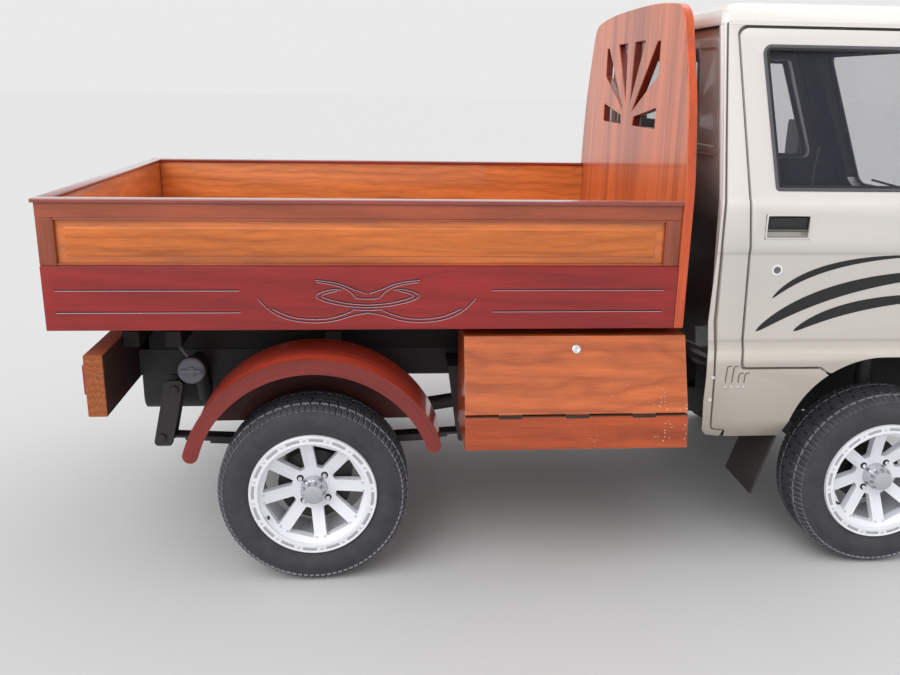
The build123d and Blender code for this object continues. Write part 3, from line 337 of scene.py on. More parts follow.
def shaded_paint(name, high_tint, low_tint, low, high):
    """Body paint with painted shade below a height, where the cab's back lies in the dark gap behind the headboard."""
    mat, tree, bsdf = shader(name, high_tint, 0.4, 0.1, 0.5)
    at = coords(tree)
    cloud = noise(tree, at, 7.0, 5.0, 0.6)
    clouded = mix(tree, high_tint, shade(high_tint, 0.72), cloud)
    tint = mix(tree, low_tint, clouded, spread(tree, xyz(tree, at)[2], 0.0, 1.0, low, high))
    wire(tree, bsdf, tint, spread(tree, cloud, 0.34, 0.56))
    return mat


def cloth_weave(name, tint):
    """A woven seat cover."""
    mat, tree, bsdf = shader(name, tint, 0.85)
    at = coords(tree)
    both = calc(tree, "MAXIMUM", *(wave(tree, at, 180.0, 1.0, bands_direction=axis) for axis in "XY"))
    wire(tree, bsdf, ramp(tree, both, (0.0, shade(tint, 0.5)), (1.0, shade(tint, 1.4))), None, both, 0.0008)
    return mat


def clear(name, tint, rough=0.03, alpha=0.38):
    """Clear glass with a thin uneven film."""
    mat, tree, bsdf = shader(name, tint, rough, 0.0, 0.3, IOR=1.45, Alpha=alpha)
    film = noise(tree, coords(tree), 14.0, 5.0)
    tree.links.new(spread(tree, film, rough, rough + 0.06), bsdf.inputs["Roughness"])
    return mat


def make_finishes():
    """Makes every finish of the scene."""
    group = bpy.context.scene.truck_finishes
    tint = {name: tuple(getattr(group, name)) for name in TruckFinishes.__annotations__}
    # Timber: key, colour, run of the grain, figure, roughness, varnish, flame
    for key, base, run, figure, rough, coat, flame in (
        ("rail", tint["frame"], "X", 0.3, 0.3, 0.6, 0),
        ("stile", shade(tint["frame"], 0.78), "Z", 0.3, 0.3, 0.6, 0),
        ("panel", tint["panel"], "X", 0.22, 0.3, 0.4, 0.6),
        # The field's slope and step: paler copies of the panel's timber, painted highlights
        ("panel_slope_highlight", shade(tint["panel"], 1.10), "X", 0.3, 0.3, 0.9, 0.35),
        ("panel_step_highlight", srgb(232, 142, 84), "X", 0.2, 0.3, 0.8, 0),
        ("board", tint["board"], "X", 0.22, 0.36, 0.22, 0),
        ("cap", tint["cap"], "X", 0.25, 0.16, 1.0, 0),
        ("cap_cross", tint["cap"], "Y", 0.25, 0.16, 1.0, 0),
        ("rail_cross", tint["frame"], "Y", 0.3, 0.3, 0.6, 0),
        ("panel_cross", tint["panel"], "Y", 0.35, 0.3, 0.6, 0.55),
        ("board_cross", tint["board"], "Y", 0.22, 0.33, 0.45, 0),
        ("headboard", srgb(224, 120, 68), "Z", 0.22, 0.34, 0.5, 0),
        ("headboard_cut", srgb(132, 52, 40), "X", 0.25, 0.3, 0.4, 0),
        ("headboard_edge", srgb(214, 84, 32), "Z", 0.25, 0.3, 0.5, 0),
        ("deck", tint["deck"], "X", 0.45, 0.38, 0.35, 0),
        ("inner", srgb(222, 132, 68), "X", 0.22, 0.36, 0.5, 0.6),
        ("inner_cross", shade(tint["deck"], 1.1), "Y", 0.35, 0.36, 0.5, 0.5),
        ("bearer", srgb(30, 27, 26), "X", 0.3, 0.6, 0.0, 0),
        # The fender's top: a much lighter copy of its timber, painted light where the bed shades it
        ("fender", shade(tint["fender"], 2.3), "ARCH", 0.25, 0.26, 0.6, 0),
        # The fender's rounded rim: a painted highlight
        ("fender_edge_highlight", srgb(224, 140, 128), "ARCH", 0.1, 0.2, 0.9, 0),
        ("fender_side", srgb(132, 40, 32), "ARCH", 0.2, 0.36, 0.25, 0),
        # Faces looking into the arch and the inner wall: painted shade
        ("fender_inside_shade", srgb(84, 30, 22), "X", 0.3, 0.5, 0.1, 0),
        ("toolbox", tint["box"], "X", 0.3, 0.28, 0.6, 0.85),
        ("toolbox_base", srgb(176, 74, 28), "X", 0.3, 0.34, 0.3, 0.5),
        # Pale pink edges: painted highlights
        ("toolbox_edge_highlight", srgb(236, 152, 118), "X", 0.15, 0.25, 0.8, 0),
        ("beam", srgb(150, 78, 44), "Y", 0.3, 0.55, 0.05, 0),
        ("beam_back", srgb(56, 40, 36), "Y", 0.3, 0.6, 0.0, 0),
    ):
        strips = {"headboard": 0.052, "deck": 0.11}.get(key, 0.0)
        knots, chips = key in ("panel", "panel_cross"), key in ("toolbox", "toolbox_base")
        FINISH[key] = timber(key + "_timber", base, run, figure, rough, coat, flame, strips, knots, chips)
    # Worn: key, name, colour, roughness, metal, coat, dust, and what differs from the rest
    polished = {"grain": 500.0}
    for key, name, base, rough, metal, coat, dusty, own in (
        ("chassis", "chassis_black", srgb(27, 26, 30), 0.5, 0, 0, 0.16, {}),
        ("steel", "dull_steel", srgb(120, 118, 114), 0.42, 0.8, 0, 0.35, {}),
        ("iron", "engine_iron", srgb(60, 58, 57), 0.6, 0.5, 0, 0.4, {}),
        ("tyre", "tyre_rubber", srgb(42, 41, 46), 0.72, 0, 0, 0.40,
         {"dust": srgb(112, 110, 116), "scale": 16.0, "depth": 0.0006}),
        ("tyre_dust", "tyre_block_edge", srgb(92, 90, 96), 0.8, 0, 0, 0.75,
         {"dust": srgb(176, 174, 178), "scale": 42.0, "depth": 0.0006}),
        ("rubber", "seal_rubber", srgb(22, 22, 26), 0.62, 0, 0, 0.12, {}),
        ("flap", "flap_rubber", srgb(28, 26, 26), 0.66, 0, 0, 0.35, {"dust": srgb(96, 86, 78)}),
        ("plastic", "black_plastic", srgb(26, 26, 28), 0.45, 0, 0, 0.08, {}),
        ("grey_plastic", "grey_plastic", srgb(84, 92, 106), 0.4, 0, 0, 0.25, {"dust": srgb(150, 146, 140)}),
        ("alloy", "machined_alloy", srgb(240, 241, 247), 0.36, 0.2, 0, 0.1,
         {"dust": srgb(176, 172, 170), "depth": 0.00012, **polished}),
        ("cap_alloy", "hub_cap_alloy", srgb(196, 198, 204), 0.2, 0.7, 0, 0.12,
         {"dust": srgb(150, 146, 144), "depth": 0.00005, **polished}),
        ("alloy_edge", "bright_alloy_edge", srgb(246, 247, 250), 0.22, 0.25, 0, 0.04, {"depth": 0.00006, **polished}),
        ("chrome", "bright_chrome", srgb(236, 236, 238), 0.08, 1.0, 0, 0.05, {"depth": 0.00004}),
        ("pocket", "dark_pocket", srgb(14, 14, 15), 0.7, 0, 0, 0.2, {}),
        ("decal", "stripe_vinyl", tint["stripe"], 0.4, 0, 0, 0.03, {}),
        # Dark in the carved cuts: painted shade
        ("carved", "carved_groove_shade", srgb(62, 26, 40), 0.4, 0, 0, 0.0, {}),
        # Pale along the carved lips: painted highlights
        ("lip_highlight", "carved_highlight", srgb(216, 170, 178), 0.3, 0, 0.4, 0.0, {}),
        ("trim", "cabin_trim", srgb(30, 28, 31), 0.7, 0, 0, 0.0, {"grain": 60.0, "depth": 0.0001}),
        ("seal", "grey_seal", srgb(88, 86, 93), 0.5, 0, 0, 0.1, {}),
        ("seam", "dark_seam", srgb(98, 88, 74), 0.5, 0, 0, 0.1, {}),
        ("slot", "wheel_slot", srgb(182, 182, 187), 0.4, 0.4, 0, 0.2, {}),
        ("amber", "amber_lens", srgb(224, 128, 24), 0.16, 0, 0.6, 0.05, {}),
        ("red", "red_lens", srgb(156, 18, 18), 0.16, 0, 0.6, 0.05, {}),
        ("plate", "plate_white", srgb(226, 226, 220), 0.35, 0, 0, 0.1, {}),
    ):
        FINISH[key] = worn(name, base, rough, metal, coat, dusty, **own)
    FINISH.update(
        paint=metallic_paint("champagne_paint", tint["cab"]),
        # The cab's back: painted shade low down in the gap behind the headboard
        back_paint=shaded_paint("cab_back_shaded_paint", srgb(198, 186, 182), srgb(44, 34, 33), 1.12, 1.30),
        # The border's rounded edges: a paler copy, a painted highlight over lighter painted shade low down
        back_ridge=shaded_paint("cab_back_ridge", srgb(206, 196, 190), srgb(120, 104, 98), 1.12, 1.26),
        end_grain=end_grain("end_grain_timber", srgb(168, 92, 46)),
        glass=clear("window_glass", srgb(88, 90, 104), alpha=0.15),
        lens=clear("lamp_lens", srgb(236, 238, 236), 0.04, 0.45),
        seat=cloth_weave("seat_weave", srgb(58, 58, 66)),
    )


# Modelling helpers

def close_edit():
    bpy.ops.object.mode_set(mode="OBJECT")


def calm():
    """Object mode with nothing selected."""
    if bpy.context.object and bpy.context.object.mode != "OBJECT":
        close_edit()
    bpy.ops.object.select_all(action="DESELECT")


def take(*objs):
    """Selects these pieces alone, the first one active."""
    calm()
    for obj in objs:
        obj.select_set(True)
    bpy.context.view_layer.objects.active = objs[0]


def linked(name, data):
    """A new object in the scene."""
    obj = bpy.data.objects.new(name, data)
    bpy.context.scene.collection.objects.link(obj)
    return obj


def pick(obj, test):
    """Opens edit mode with the faces selected whose centre and normal pass the test."""
    take(obj)
    for part in (*obj.data.vertices, *obj.data.edges):
        part.select = False
    for face in obj.data.polygons:
        face.select = bool(test(face.center, face.normal))
    bpy.ops.object.mode_set(mode="EDIT")
    bpy.ops.mesh.select_mode(type="FACE")


def open_all(obj):
    """Opens edit mode with the whole mesh selected."""
    take(obj)
    bpy.ops.object.mode_set(mode="EDIT")
    bpy.ops.mesh.select_all(action="SELECT")


def cut_faces(obj, test):
    """Deletes the faces that pass the test."""
    pick(obj, test)
    bpy.ops.mesh.delete(type="FACE")
    close_edit()


def inset(obj, way, *steps, least=0.9):
    """Insets the faces that look a way, by steps of thickness and depth."""
    way = Vector(way).normalized()
    pick(obj, lambda c, n: n.dot(way) > least)
    for thickness, depth in steps:
        bpy.ops.mesh.inset(thickness=thickness, depth=depth)
    close_edit()
    return obj


def assign(obj, slot):
    """Gives the selected faces one of the piece's finishes."""
    obj.active_material_index = slot
    bpy.ops.object.material_slot_assign()


def wear(obj, *finishes):
    """Gives a piece these finishes in place of those it had."""
    obj.data.materials.clear()
    for finish in finishes:
        obj.data.materials.append(FINISH[finish])


def apply_all(obj):
    take(obj)
    for modifier in list(obj.modifiers):
        bpy.ops.object.modifier_apply(modifier=modifier.name)
    return obj


def modified(obj, kind, **settings):
    """Adds a modifier with these settings and applies it."""
    made = obj.modifiers.new(kind.title(), kind)
    for key, value in settings.items():
        setattr(made, key, value)
    return apply_all(obj)


def bevel(obj, width, segments=2, angle=28, slot=-1):
    """Rounds the edges that turn by more than an angle, in the finish of a slot if one is given."""
    return modified(obj, "BEVEL", width=width, segments=segments, limit_method="ANGLE", angle_limit=radians(angle),
                    use_clamp_overlap=True, material=slot)


def even(obj):
    """Lets the large flat faces rule the shading beside softened edges."""
    return modified(obj, "WEIGHTED_NORMAL", keep_sharp=True)


def settle(obj, name, body, finish, replaced=(), angle=32):
    """Puts a finished piece's place into its mesh, names it, colours it and rides it."""
    take(obj)
    bpy.ops.object.transform_apply(location=True, rotation=True, scale=True)
    bpy.ops.object.shade_smooth_by_angle(angle=radians(angle))
    obj.name = name
    obj.data.name = name
    if finish:
        wear(obj, finish)
    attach(obj, body)
    if replaced:
        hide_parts(*replaced)
    return obj


def cube(low, high, edge=0.0, segments=2):
    """A block between two corners, its edges rounded."""
    calm()
    low, high = Vector(map(min, low, high)), Vector(map(max, low, high))
    bpy.ops.mesh.primitive_cube_add(size=1, location=(low + high) / 2)
    obj = bpy.context.object
    obj.scale = high - low
    bpy.ops.object.transform_apply(location=True, rotation=True, scale=True)
    return bevel(obj, edge, segments) if edge else obj


def sheet(along, across, place):
    """A grid whose points are put where their shares along and across say."""
    calm()
    bpy.ops.mesh.primitive_grid_add(x_subdivisions=along, y_subdivisions=across, size=1)
    obj = bpy.context.object
    for vertex in obj.data.vertices:
        vertex.co = place(vertex.co.x + 0.5, vertex.co.y + 0.5)
    return obj


def drum(centre, axis, radius, depth, edge=0.0, sides=24, inner=0.0):
    """A turned disc whose axis points along a direction, its end sunk inside a rim if one is given."""
    calm()
    bpy.ops.mesh.primitive_cylinder_add(vertices=sides, radius=radius, depth=depth, location=centre)
    obj = bpy.context.object
    obj.rotation_mode = "QUATERNION"
    obj.rotation_quaternion = Vector((0, 0, 1)).rotation_difference(Vector(axis))
    bpy.ops.object.transform_apply(location=True, rotation=True, scale=True)
    if inner:
        inset(obj, axis, (inner, -min(depth * 0.4, inner * 0.5)))
    return bevel(obj, edge) if edge else obj


def join(objs):
    take(*objs)
    if len(objs) > 1:
        bpy.ops.object.join()
    return bpy.context.object


def spun(points, centre, steps, turn=2 * pi, way=(0, 1, 0)):
    """Turns an outline of (distance along the axis, radius) about a level axis through a centre."""
    centre, way = Vector(centre), Vector(way)
    mesh = bpy.data.meshes.new("outline")
    places = [centre + way * along + Vector((0, 0, radius)) for along, radius in points]
    mesh.from_pydata(places, [(i, i + 1) for i in range(len(points) - 1)], [])
    obj = linked("turned", mesh)
    open_all(obj)
    bpy.ops.mesh.spin(steps=steps, angle=turn, center=centre, axis=way)
    bpy.ops.mesh.select_all(action="SELECT")
    bpy.ops.mesh.remove_doubles(threshold=0.00005)
    bpy.ops.mesh.normals_make_consistent(inside=False)
    close_edit()
    return obj


def tube(points, radius, fineness=2, smooth_line=True, closed=False):
    """A round bar along a line of points, as a mesh."""
    curve = bpy.data.curves.new("line", "CURVE")
    curve.dimensions = "3D"
    spline = curve.splines.new("NURBS" if smooth_line else "POLY")
    spline.points.add(len(points) - 1)
    for knot, point in zip(spline.points, points):
        knot.co = (*point, 1)
    if smooth_line:
        spline.order_u = 3
        spline.use_endpoint_u = not closed
        spline.resolution_u = 6
    spline.use_cyclic_u = closed
    curve.bevel_depth = radius
    curve.bevel_resolution = fineness
    curve.use_fill_caps = True
    take(linked("bar", curve))
    bpy.ops.object.convert(target="MESH")
    return bpy.context.object


def copied(part):
    """A merged copy of a CAD node's mesh, with its flat faces made whole."""
    obj = linked(part + "_form", frame["nodes"][part].data.copy())
    open_all(obj)
    bpy.ops.mesh.remove_doubles(threshold=0.00002)
    bpy.ops.mesh.dissolve_limited(angle_limit=radians(0.4))
    close_edit()
    return obj


def dressed(part, name, body, finish, slot, edge=0.0, angle=32, segments=2):
    """A CAD node's form with softened edges and a finish."""
    obj = copied(part)
    if edge:
        bevel(obj, edge, segments)
    return even(settle(obj, name, body, finish, (part,), angle))


def edged(part, name, body, finishes, edge, limit=28, shows=lambda c, n: True):
    """A CAD node's form whose softened edges show a finish of their own, where a test lets them."""
    obj = copied(part)
    wear(obj, *finishes)
    for face in obj.data.polygons:
        face.material_index = 0
    bevel(obj, edge, 2, limit, 1)
    for face in obj.data.polygons:
        if face.material_index == 1 and not shows(face.center, face.normal):
            face.material_index = 0
    return even(settle(obj, name, body, None, (part,), 30))


def repaint(finish, *parts):
    """Gives CAD nodes whose form stays a finish of the scene."""
    for part in parts:
        for held in frame["nodes"][part].material_slots:
            held.material = FINISH[finish]


def raise_field(panel, out, finishes):
    """Raises the field of a panel's outer face by a rim, a slope and a step, each in a finish of its own."""
    wear(panel, *finishes)
    out = Vector(out)
    pick(panel, lambda c, n: n.dot(out) > 0.9)
    for thickness, depth, slot in ((0.003, 0.0, 1), (0.024, 0.0060, 2), (0.0030, 0.0052, 0)):
        bpy.ops.mesh.inset(thickness=thickness, depth=depth)
        assign(panel, slot)
    close_edit()
    return bevel(panel, 0.0005)


def skin_y(z):
    """Half width of the cab's skin at a height."""
    for (z0, y0), (z1, y1) in zip(SKIN, SKIN[1:]):
        if z <= z1:
            return y0 + (y1 - y0) * (max(z, z0) - z0) / (z1 - z0)
    return SKIN[-1][1]


# Operators

class TRUCK_OT_stage(bpy.types.Operator):
    """Floor, lamps, sky and the camera at the photograph's viewing angle"""
    bl_idname = "truck.stage"
    bl_label = "Stage"
    bl_options = {"REGISTER", "UNDO"}

    # Name, where it shines from, power, and how wide it looks in degrees
    LAMPS = (("key_light", (-2.0, -2.6, 3.2), 1.45, 50), ("back_light", (2.4, 2.0, 3.2), 0.5, 60))
    # The camera that fits the photograph: its place, its angles and its lens in millimetres
    CAMERA_PLACE, YAW, PITCH, ROLL, LENS = (-0.6279, -3.2366, 1.5142), 0.0802, 0.277, 0.0163, 35.48

    def execute(self, context):
        context.scene.view_settings.view_transform = "Standard"
        calm()
        bpy.ops.mesh.primitive_plane_add(size=240, location=(0, 0, -0.0005))
        floor = bpy.context.object
        floor.name = "floor"
        floor.data.materials.append(shader("pale_floor", (0.60, 0.60, 0.60), 0.9)[0])
        self.light_world(context.scene)
        for name, place, power, width in self.LAMPS:
            light = bpy.data.lights.new(name, "SUN")
            light.energy = power
            light.angle = radians(width)
            lamp = linked(name, light)
            lamp.rotation_mode = "QUATERNION"
            lamp.rotation_quaternion = (-Vector(place)).to_track_quat("-Z", "Y")
        self.set_camera(context.scene)
        return {"FINISHED"}

    def light_world(self, scene):
        """A soft sky that lights the truck; the camera, gloss and glass show a plain backdrop."""
        world = scene.world or bpy.data.worlds.new("World")
        scene.world = world
        world.use_nodes = True
        tree = world.node_tree
        sky = tree.nodes["Background"]
        height = xyz(tree, node(tree, "ShaderNodeTexCoord").outputs["Generated"])[2]
        tones = (0.0, (0.50, 0.50, 0.52)), (0.35, (0.74, 0.75, 0.77)), (1.0, 1.0)
        tree.links.new(ramp(tree, height, *tones), sky.inputs["Color"])
        sky.inputs["Strength"].default_value = 1.0
        plain = node(tree, "ShaderNodeBackground", (0.82, 0.82, 0.82, 1), 1.0)
        path = node(tree, "ShaderNodeLightPath").outputs
        seen = path["Is Camera Ray"]
        for name in ("Is Glossy Ray", "Is Transmission Ray"):
            seen = calc(tree, "MAXIMUM", seen, path[name])
        choose = node(tree, "ShaderNodeMixShader", seen, sky.outputs[0], plain.outputs[0])
        tree.links.new(choose.outputs[0], tree.nodes["World Output"].inputs["Surface"])

    def set_camera(self, scene):
        yaw, pitch, roll = self.YAW, self.PITCH, self.ROLL
        forward = Vector((sin(yaw) * cos(pitch), cos(yaw) * cos(pitch), -sin(pitch)))
        right = Vector((cos(yaw), -sin(yaw), 0))
        up = right.cross(forward)
        side = right * cos(roll) + up * sin(roll)
        top = up * cos(roll) - right * sin(roll)
        data = bpy.data.cameras.new("camera")
        data.sensor_width = 36
        data.lens = self.LENS
        data.clip_end = 200
        camera = linked("camera", data)
        turned = Matrix((side, top, -forward)).transposed().to_4x4()
        camera.matrix_world = Matrix.Translation(self.CAMERA_PLACE) @ turned
        scene.camera = camera


class TRUCK_OT_tyres(bpy.types.Operator):
    """Four tyres with block tread and ribbed side walls"""
    bl_idname = "truck.tyres"
    bl_label = "Tyres"
    bl_options = {"REGISTER", "UNDO"}

    # Steps round the tyre
    STEPS = 384
    # Across the tyre from its middle: distance from the centre plane and radius
    HALF = (
        (0.0, 0.2872), (0.006, 0.2872), (0.0095, 0.2872), (0.030, 0.2870), (0.034, 0.2868), (0.058, 0.2858),
        (0.0615, 0.2850), (0.074, 0.2826), (0.0815, 0.2782), (0.0850, 0.2738), (0.0868, 0.2690), (0.0886, 0.2620),
        (0.0896, 0.2590), (0.0898, 0.2572), (0.0906, 0.2560), (0.0918, 0.2470), (0.0921, 0.2380), (0.0915, 0.2290),
        (0.0908, 0.2262), (0.0902, 0.2246), (0.0888, 0.2180), (0.0862, 0.2105), (0.0832, 0.2040), (0.0812, 0.2004),
        (0.0800, 0.1972), (0.0795, 0.1785),
    )
    # Bands of blocks: from, to, steps to a block, shift, share of the tread's depth, pale rims
    BANDS = (
        (0.0, 0.006, 16, 0, 1.0, False), (0.0095, 0.030, 8, 1, 1.0, False),
        (0.034, 0.058, 6, 0, 1.0, True), (0.0615, 0.0851, 4, 1, 0.72, True),
    )
    # The tread lies outside this radius; how far a block tapers towards its top
    TREAD_RADIUS, BLOCK_SLOPE = 0.270, 0.0009

    def execute(self, context):
        centre = Vector((FRONT_AXLE, -FRONT_WHEEL_Y, AXLE_HEIGHT))
        points = [(-y, r) for y, r in reversed(self.HALF[1:])] + list(self.HALF)
        tyre = spun(points, centre, self.STEPS)
        wear(tyre, "tyre", "tyre_dust")
        step = 2 * pi / self.STEPS
        depth = context.scene.truck_sizes.tread
        for low, high, pitch, shift, share, pale in self.BANDS:

            def on_block(c, n):
                side = 2 if c.y > centre.y else 0
                turn = int((atan2(c.z - centre.z, c.x - centre.x) + pi) / step) % self.STEPS
                return (low < abs(c.y - centre.y) < high and n.length > 0 and (turn + shift + side) % pitch != 0
                        and hypot(c.x - centre.x, c.z - centre.z) > self.TREAD_RADIUS)

            pick(tyre, on_block)
            if pale:
                assign(tyre, 1)
            bpy.ops.mesh.inset(thickness=self.BLOCK_SLOPE, depth=depth * share, use_even_offset=True)
            assign(tyre, 0)
            close_edit()
        for name, x, y in CORNERS:
            obj = linked("tread", tyre.data.copy())
            obj.data.transform(Matrix.Translation(-centre))
            if y > 0:
                obj.data.transform(Matrix.Rotation(pi, 4, "Z"))
            obj.data.transform(Matrix.Translation((x, y, AXLE_HEIGHT)))
            settle(obj, "tyre_" + name + "_tread", "road_wheel_" + name, None, ("tyre_" + name,), 35)
        bpy.data.objects.remove(tyre)
        return {"FINISHED"}


class TRUCK_OT_wheels(bpy.types.Operator):
    """Alloy wheels: softened spokes, studs and slots round the lip, nuts and an alloy hub cap"""
    bl_idname = "truck.wheels"
    bl_label = "Wheels"
    bl_options = {"REGISTER", "UNDO"}

    # Outlines of distance out from the wheel's middle plane and radius: the cap over the hub, the lip's beads, a slot
    CAP = (
        (0.0298, 0.0418), (0.0325, 0.0414), (0.0345, 0.0398), (0.0560, 0.0378), (0.0580, 0.0394), (0.0622, 0.0394),
        (0.0642, 0.0366), (0.0700, 0.0350), (0.0790, 0.0330), (0.0845, 0.0302), (0.0872, 0.0240), (0.0884, 0.0150),
        (0.0889, 0.0),
    )
    BEADS = (
        ((0.0874, 0.1955), (0.0888, 0.1953), (0.0896, 0.1940), (0.0894, 0.1916), (0.0880, 0.1908)),
        ((0.0872, 0.1752), (0.0886, 0.1744), (0.0889, 0.1716), (0.0882, 0.1696), (0.0850, 0.1690)),
    )
    SLOT = ((0.0879, 0.1784), (0.0884, 0.1790), (0.0884, 0.1874), (0.0879, 0.1880))
    SLOTS, SLOT_START, SLOT_TURN = 16, radians(11), radians(13.5)
    SPOKES, SPOKE_STUD_TURN, NUT_RADIUS = 8, 0.086, 0.0538
    VALVE_TURN, VALVE = -2.63, ((0.161, 0.062), (0.160, 0.076), (0.158, 0.083))

    def execute(self, context):
        for name, x, y in CORNERS:
            self.wheel(name, Vector((x, y, AXLE_HEIGHT)), 1 if y > 0 else -1)
        return {"FINISHED"}

    def wheel(self, name, centre, side):
        """One wheel's pieces; side is where its outer face looks."""
        body = "road_wheel_" + name

        def at(radius, turn, depth):
            turn += WHEEL_TURN
            return centre + Vector((radius * cos(turn), side * depth, radius * sin(turn)))

        def ring(count, start, radius, depth, *shape):
            return [drum(at(radius, i * 2 * pi / count + start, depth), (0, side, 0), *shape) for i in range(count)]

        def turned(outline, *way):
            return spun([(side * out, radius) for out, radius in outline], centre, *way)

        edged("wheel_" + name, "rim_" + name, body, ("alloy", "alloy_edge"), 0.0026, 24)
        studs = ring(self.SLOTS, 0, 0.1832, 0.0880, 0.0044, 0.003, 0.001, 12)
        for turn in (-self.SPOKE_STUD_TURN, self.SPOKE_STUD_TURN):
            studs += ring(self.SPOKES, turn, 0.1545, 0.0655, 0.0046, 0.006, 0.0016, 10)
        settle(join(studs), "rim_studs_" + name, body, "chrome")
        settle(join([turned(bead, 96) for bead in self.BEADS]), "rim_beads_" + name, body, "alloy_edge")
        slots = []
        for i in range(self.SLOTS):
            strip = turned(self.SLOT, 6, self.SLOT_TURN)
            turn = Matrix.Rotation(i * 2 * pi / self.SLOTS + self.SLOT_START, 4, "Y")
            strip.data.transform(Matrix.Translation(centre) @ turn @ Matrix.Translation(-centre))
            slots.append(strip)
        settle(join(slots), "rim_slots_" + name, body, "slot")
        nuts = ring(4, pi / 4, self.NUT_RADIUS, 0.0345, 0.0072, 0.010, 0.002, 6, 0.0026)
        settle(join(nuts), "wheel_nuts_" + name, body, "chrome")
        # Dark discs round the nuts: painted shade in the nut holes
        well_shades = ring(4, pi / 4, self.NUT_RADIUS, 0.0298, 0.0112, 0.0016, 0.0004, 24)
        settle(join(well_shades), "nut_well_shade_" + name, body, "pocket")
        cap = [turned(self.CAP, 48), *ring(20, 0, 0.0380, 0.0634, 0.0026, 0.004, 0.0012, 8)]
        settle(join(cap), "hub_cap_" + name, body, "cap_alloy")
        stem = tube([at(radius, self.VALVE_TURN - WHEEL_TURN, depth) for radius, depth in self.VALVE], 0.0040)
        settle(stem, "valve_stem_" + name, body, "rubber")


class TRUCK_OT_bed_sides(bpy.types.Operator):
    """Framed raised panels over carved lower boards, with cap rails"""
    bl_idname = "truck.bed_sides"
    bl_label = "Bed sides"
    bl_options = {"REGISTER", "UNDO"}

    MIDDLE = -0.6670
    # Carved lines on one side of the ornament's middle, as rows of (distance from the middle, height)
    HALVES = (
        ((0.004, 0.926), (0.036, 0.936), (0.074, 0.953), (0.110, 0.962), (0.152, 0.966)),
        ((0.034, 0.913), (0.050, 0.933), (0.082, 0.948), (0.112, 0.955), (0.148, 0.960)),
        ((0.0, 0.884), (0.050, 0.886), (0.098, 0.895), (0.137, 0.906), (0.156, 0.920), (0.132, 0.932), (0.096, 0.941),
         (0.076, 0.936)),
        ((0.0, 0.892), (0.046, 0.894), (0.088, 0.902), (0.122, 0.911), (0.138, 0.920), (0.118, 0.928), (0.090, 0.934)),
        ((0.0, 0.868), (0.040, 0.862), (0.080, 0.848), (0.120, 0.840), (0.160, 0.838), (0.205, 0.842), (0.245, 0.852),
         (0.282, 0.872), (0.312, 0.902), (0.318, 0.912)),
        ((0.044, 0.874), (0.082, 0.858), (0.120, 0.850), (0.160, 0.848), (0.205, 0.852), (0.243, 0.862),
         (0.276, 0.880)),
    )
    # Short carved lines across the middle, and the straight lines beside the ornament
    BARS = (((-0.034, 0.912), (0.0, 0.908), (0.034, 0.912)), ((-0.044, 0.878), (0.0, 0.874), (0.044, 0.878)))
    LINES, LINE_HEIGHTS = ((-1.5555, -1.0365), (-0.3005, 0.2165)), (0.935, 0.870)

    def execute(self, context):
        edge = context.scene.truck_sizes.edge
        field = (BED_REAR + STILE, BED_FRONT - STILE)
        for side, word in SIDES:

            def plank(x, depth, z, round_by=edge):
                y0, y1 = (side * (BED_SIDE - inward) for inward in depth)
                return cube((x[0], y0, z[0]), (x[1], y1, z[1]), round_by)

            cap = plank((BED_REAR + CAP_REACH[0], BED_FRONT), CAP_REACH, CAP_Z, CAP_ROUND)
            settle(cap, "bed_cap_" + word, "truck", "cap", ("bed_sides",))
            rail = plank((BED_REAR, BED_FRONT), (0, PLANK), RAIL_Z)
            settle(rail, "bed_rail_" + word, "truck", "rail")
            stiles = [plank((x, x + STILE), STILE_DEPTH, FIELD_Z) for x in (BED_REAR, field[1])]
            settle(join(stiles), "bed_stiles_" + word, "truck", "stile")
            panel = plank(field, FIELD_DEPTH, FIELD_Z, 0)
            # The slope and step take the paler finishes: painted highlights
            raise_field(panel, (0, side, 0), ("panel", "panel_slope_highlight", "panel_step_highlight"))
            settle(panel, "bed_panel_" + word, "truck", None, angle=20)
            moulding = [cube((field[0], side * 0.6795, z - 0.0035), (field[1], side * 0.6905, z + 0.0035), 0.0022)
                        for z in (1.0085, 1.1385)]
            settle(join(moulding), "bed_moulding_" + word, "truck", "rail")
            board = plank((BED_REAR, BED_FRONT), (-0.004, PLANK), BOARD_Z, BOARD_ROUND)
            self.carve(board, side, word)
            settle(board, "bed_board_" + word, "truck", None)
            liner = cube((BED_REAR + 0.031, side * 0.6632, 0.861), (BED_FRONT - 0.0006, side * 0.6612, 1.183), 0.0004)
            settle(liner, "bed_lining_" + word, "truck", "inner")
        return {"FINISHED"}

    def carve(self, board, side, word):
        """Cuts the ornament's lines into the outer face, with painted shade in the cut and a painted highlight along
        its lower lip.
        """
        wear(board, "board", "carved")
        width = bpy.context.scene.truck_sizes.groove / 2
        rows = [[(x0, z), ((x0 + x1) / 2, z), (x1, z)] for x0, x1 in self.LINES for z in self.LINE_HEIGHTS]
        rows += [[(self.MIDDLE + way * u, z) for u, z in half] for half in self.HALVES for way in (-1, 1)]
        rows += [[(self.MIDDLE + u, z) for u, z in bar] for bar in self.BARS]
        cutters, glints = [], []
        for row in rows:
            cutters.append(tube([(x, side * 0.6962, z) for x, z in row], width))
            # A thin pale line under each cut: a painted highlight
            glints.append(tube([(x, side * 0.69605, z - width * 0.95) for x, z in row], 0.0007, 1))
        cutter = join(cutters)
        wear(cutter, "carved")
        modified(board, "BOOLEAN", operation="DIFFERENCE", object=cutter, solver="EXACT", use_self=True,
                 material_mode="TRANSFER")
        bpy.data.objects.remove(cutter)
        settle(join(glints), "bed_carving_glint_" + word, "truck", "lip_highlight")


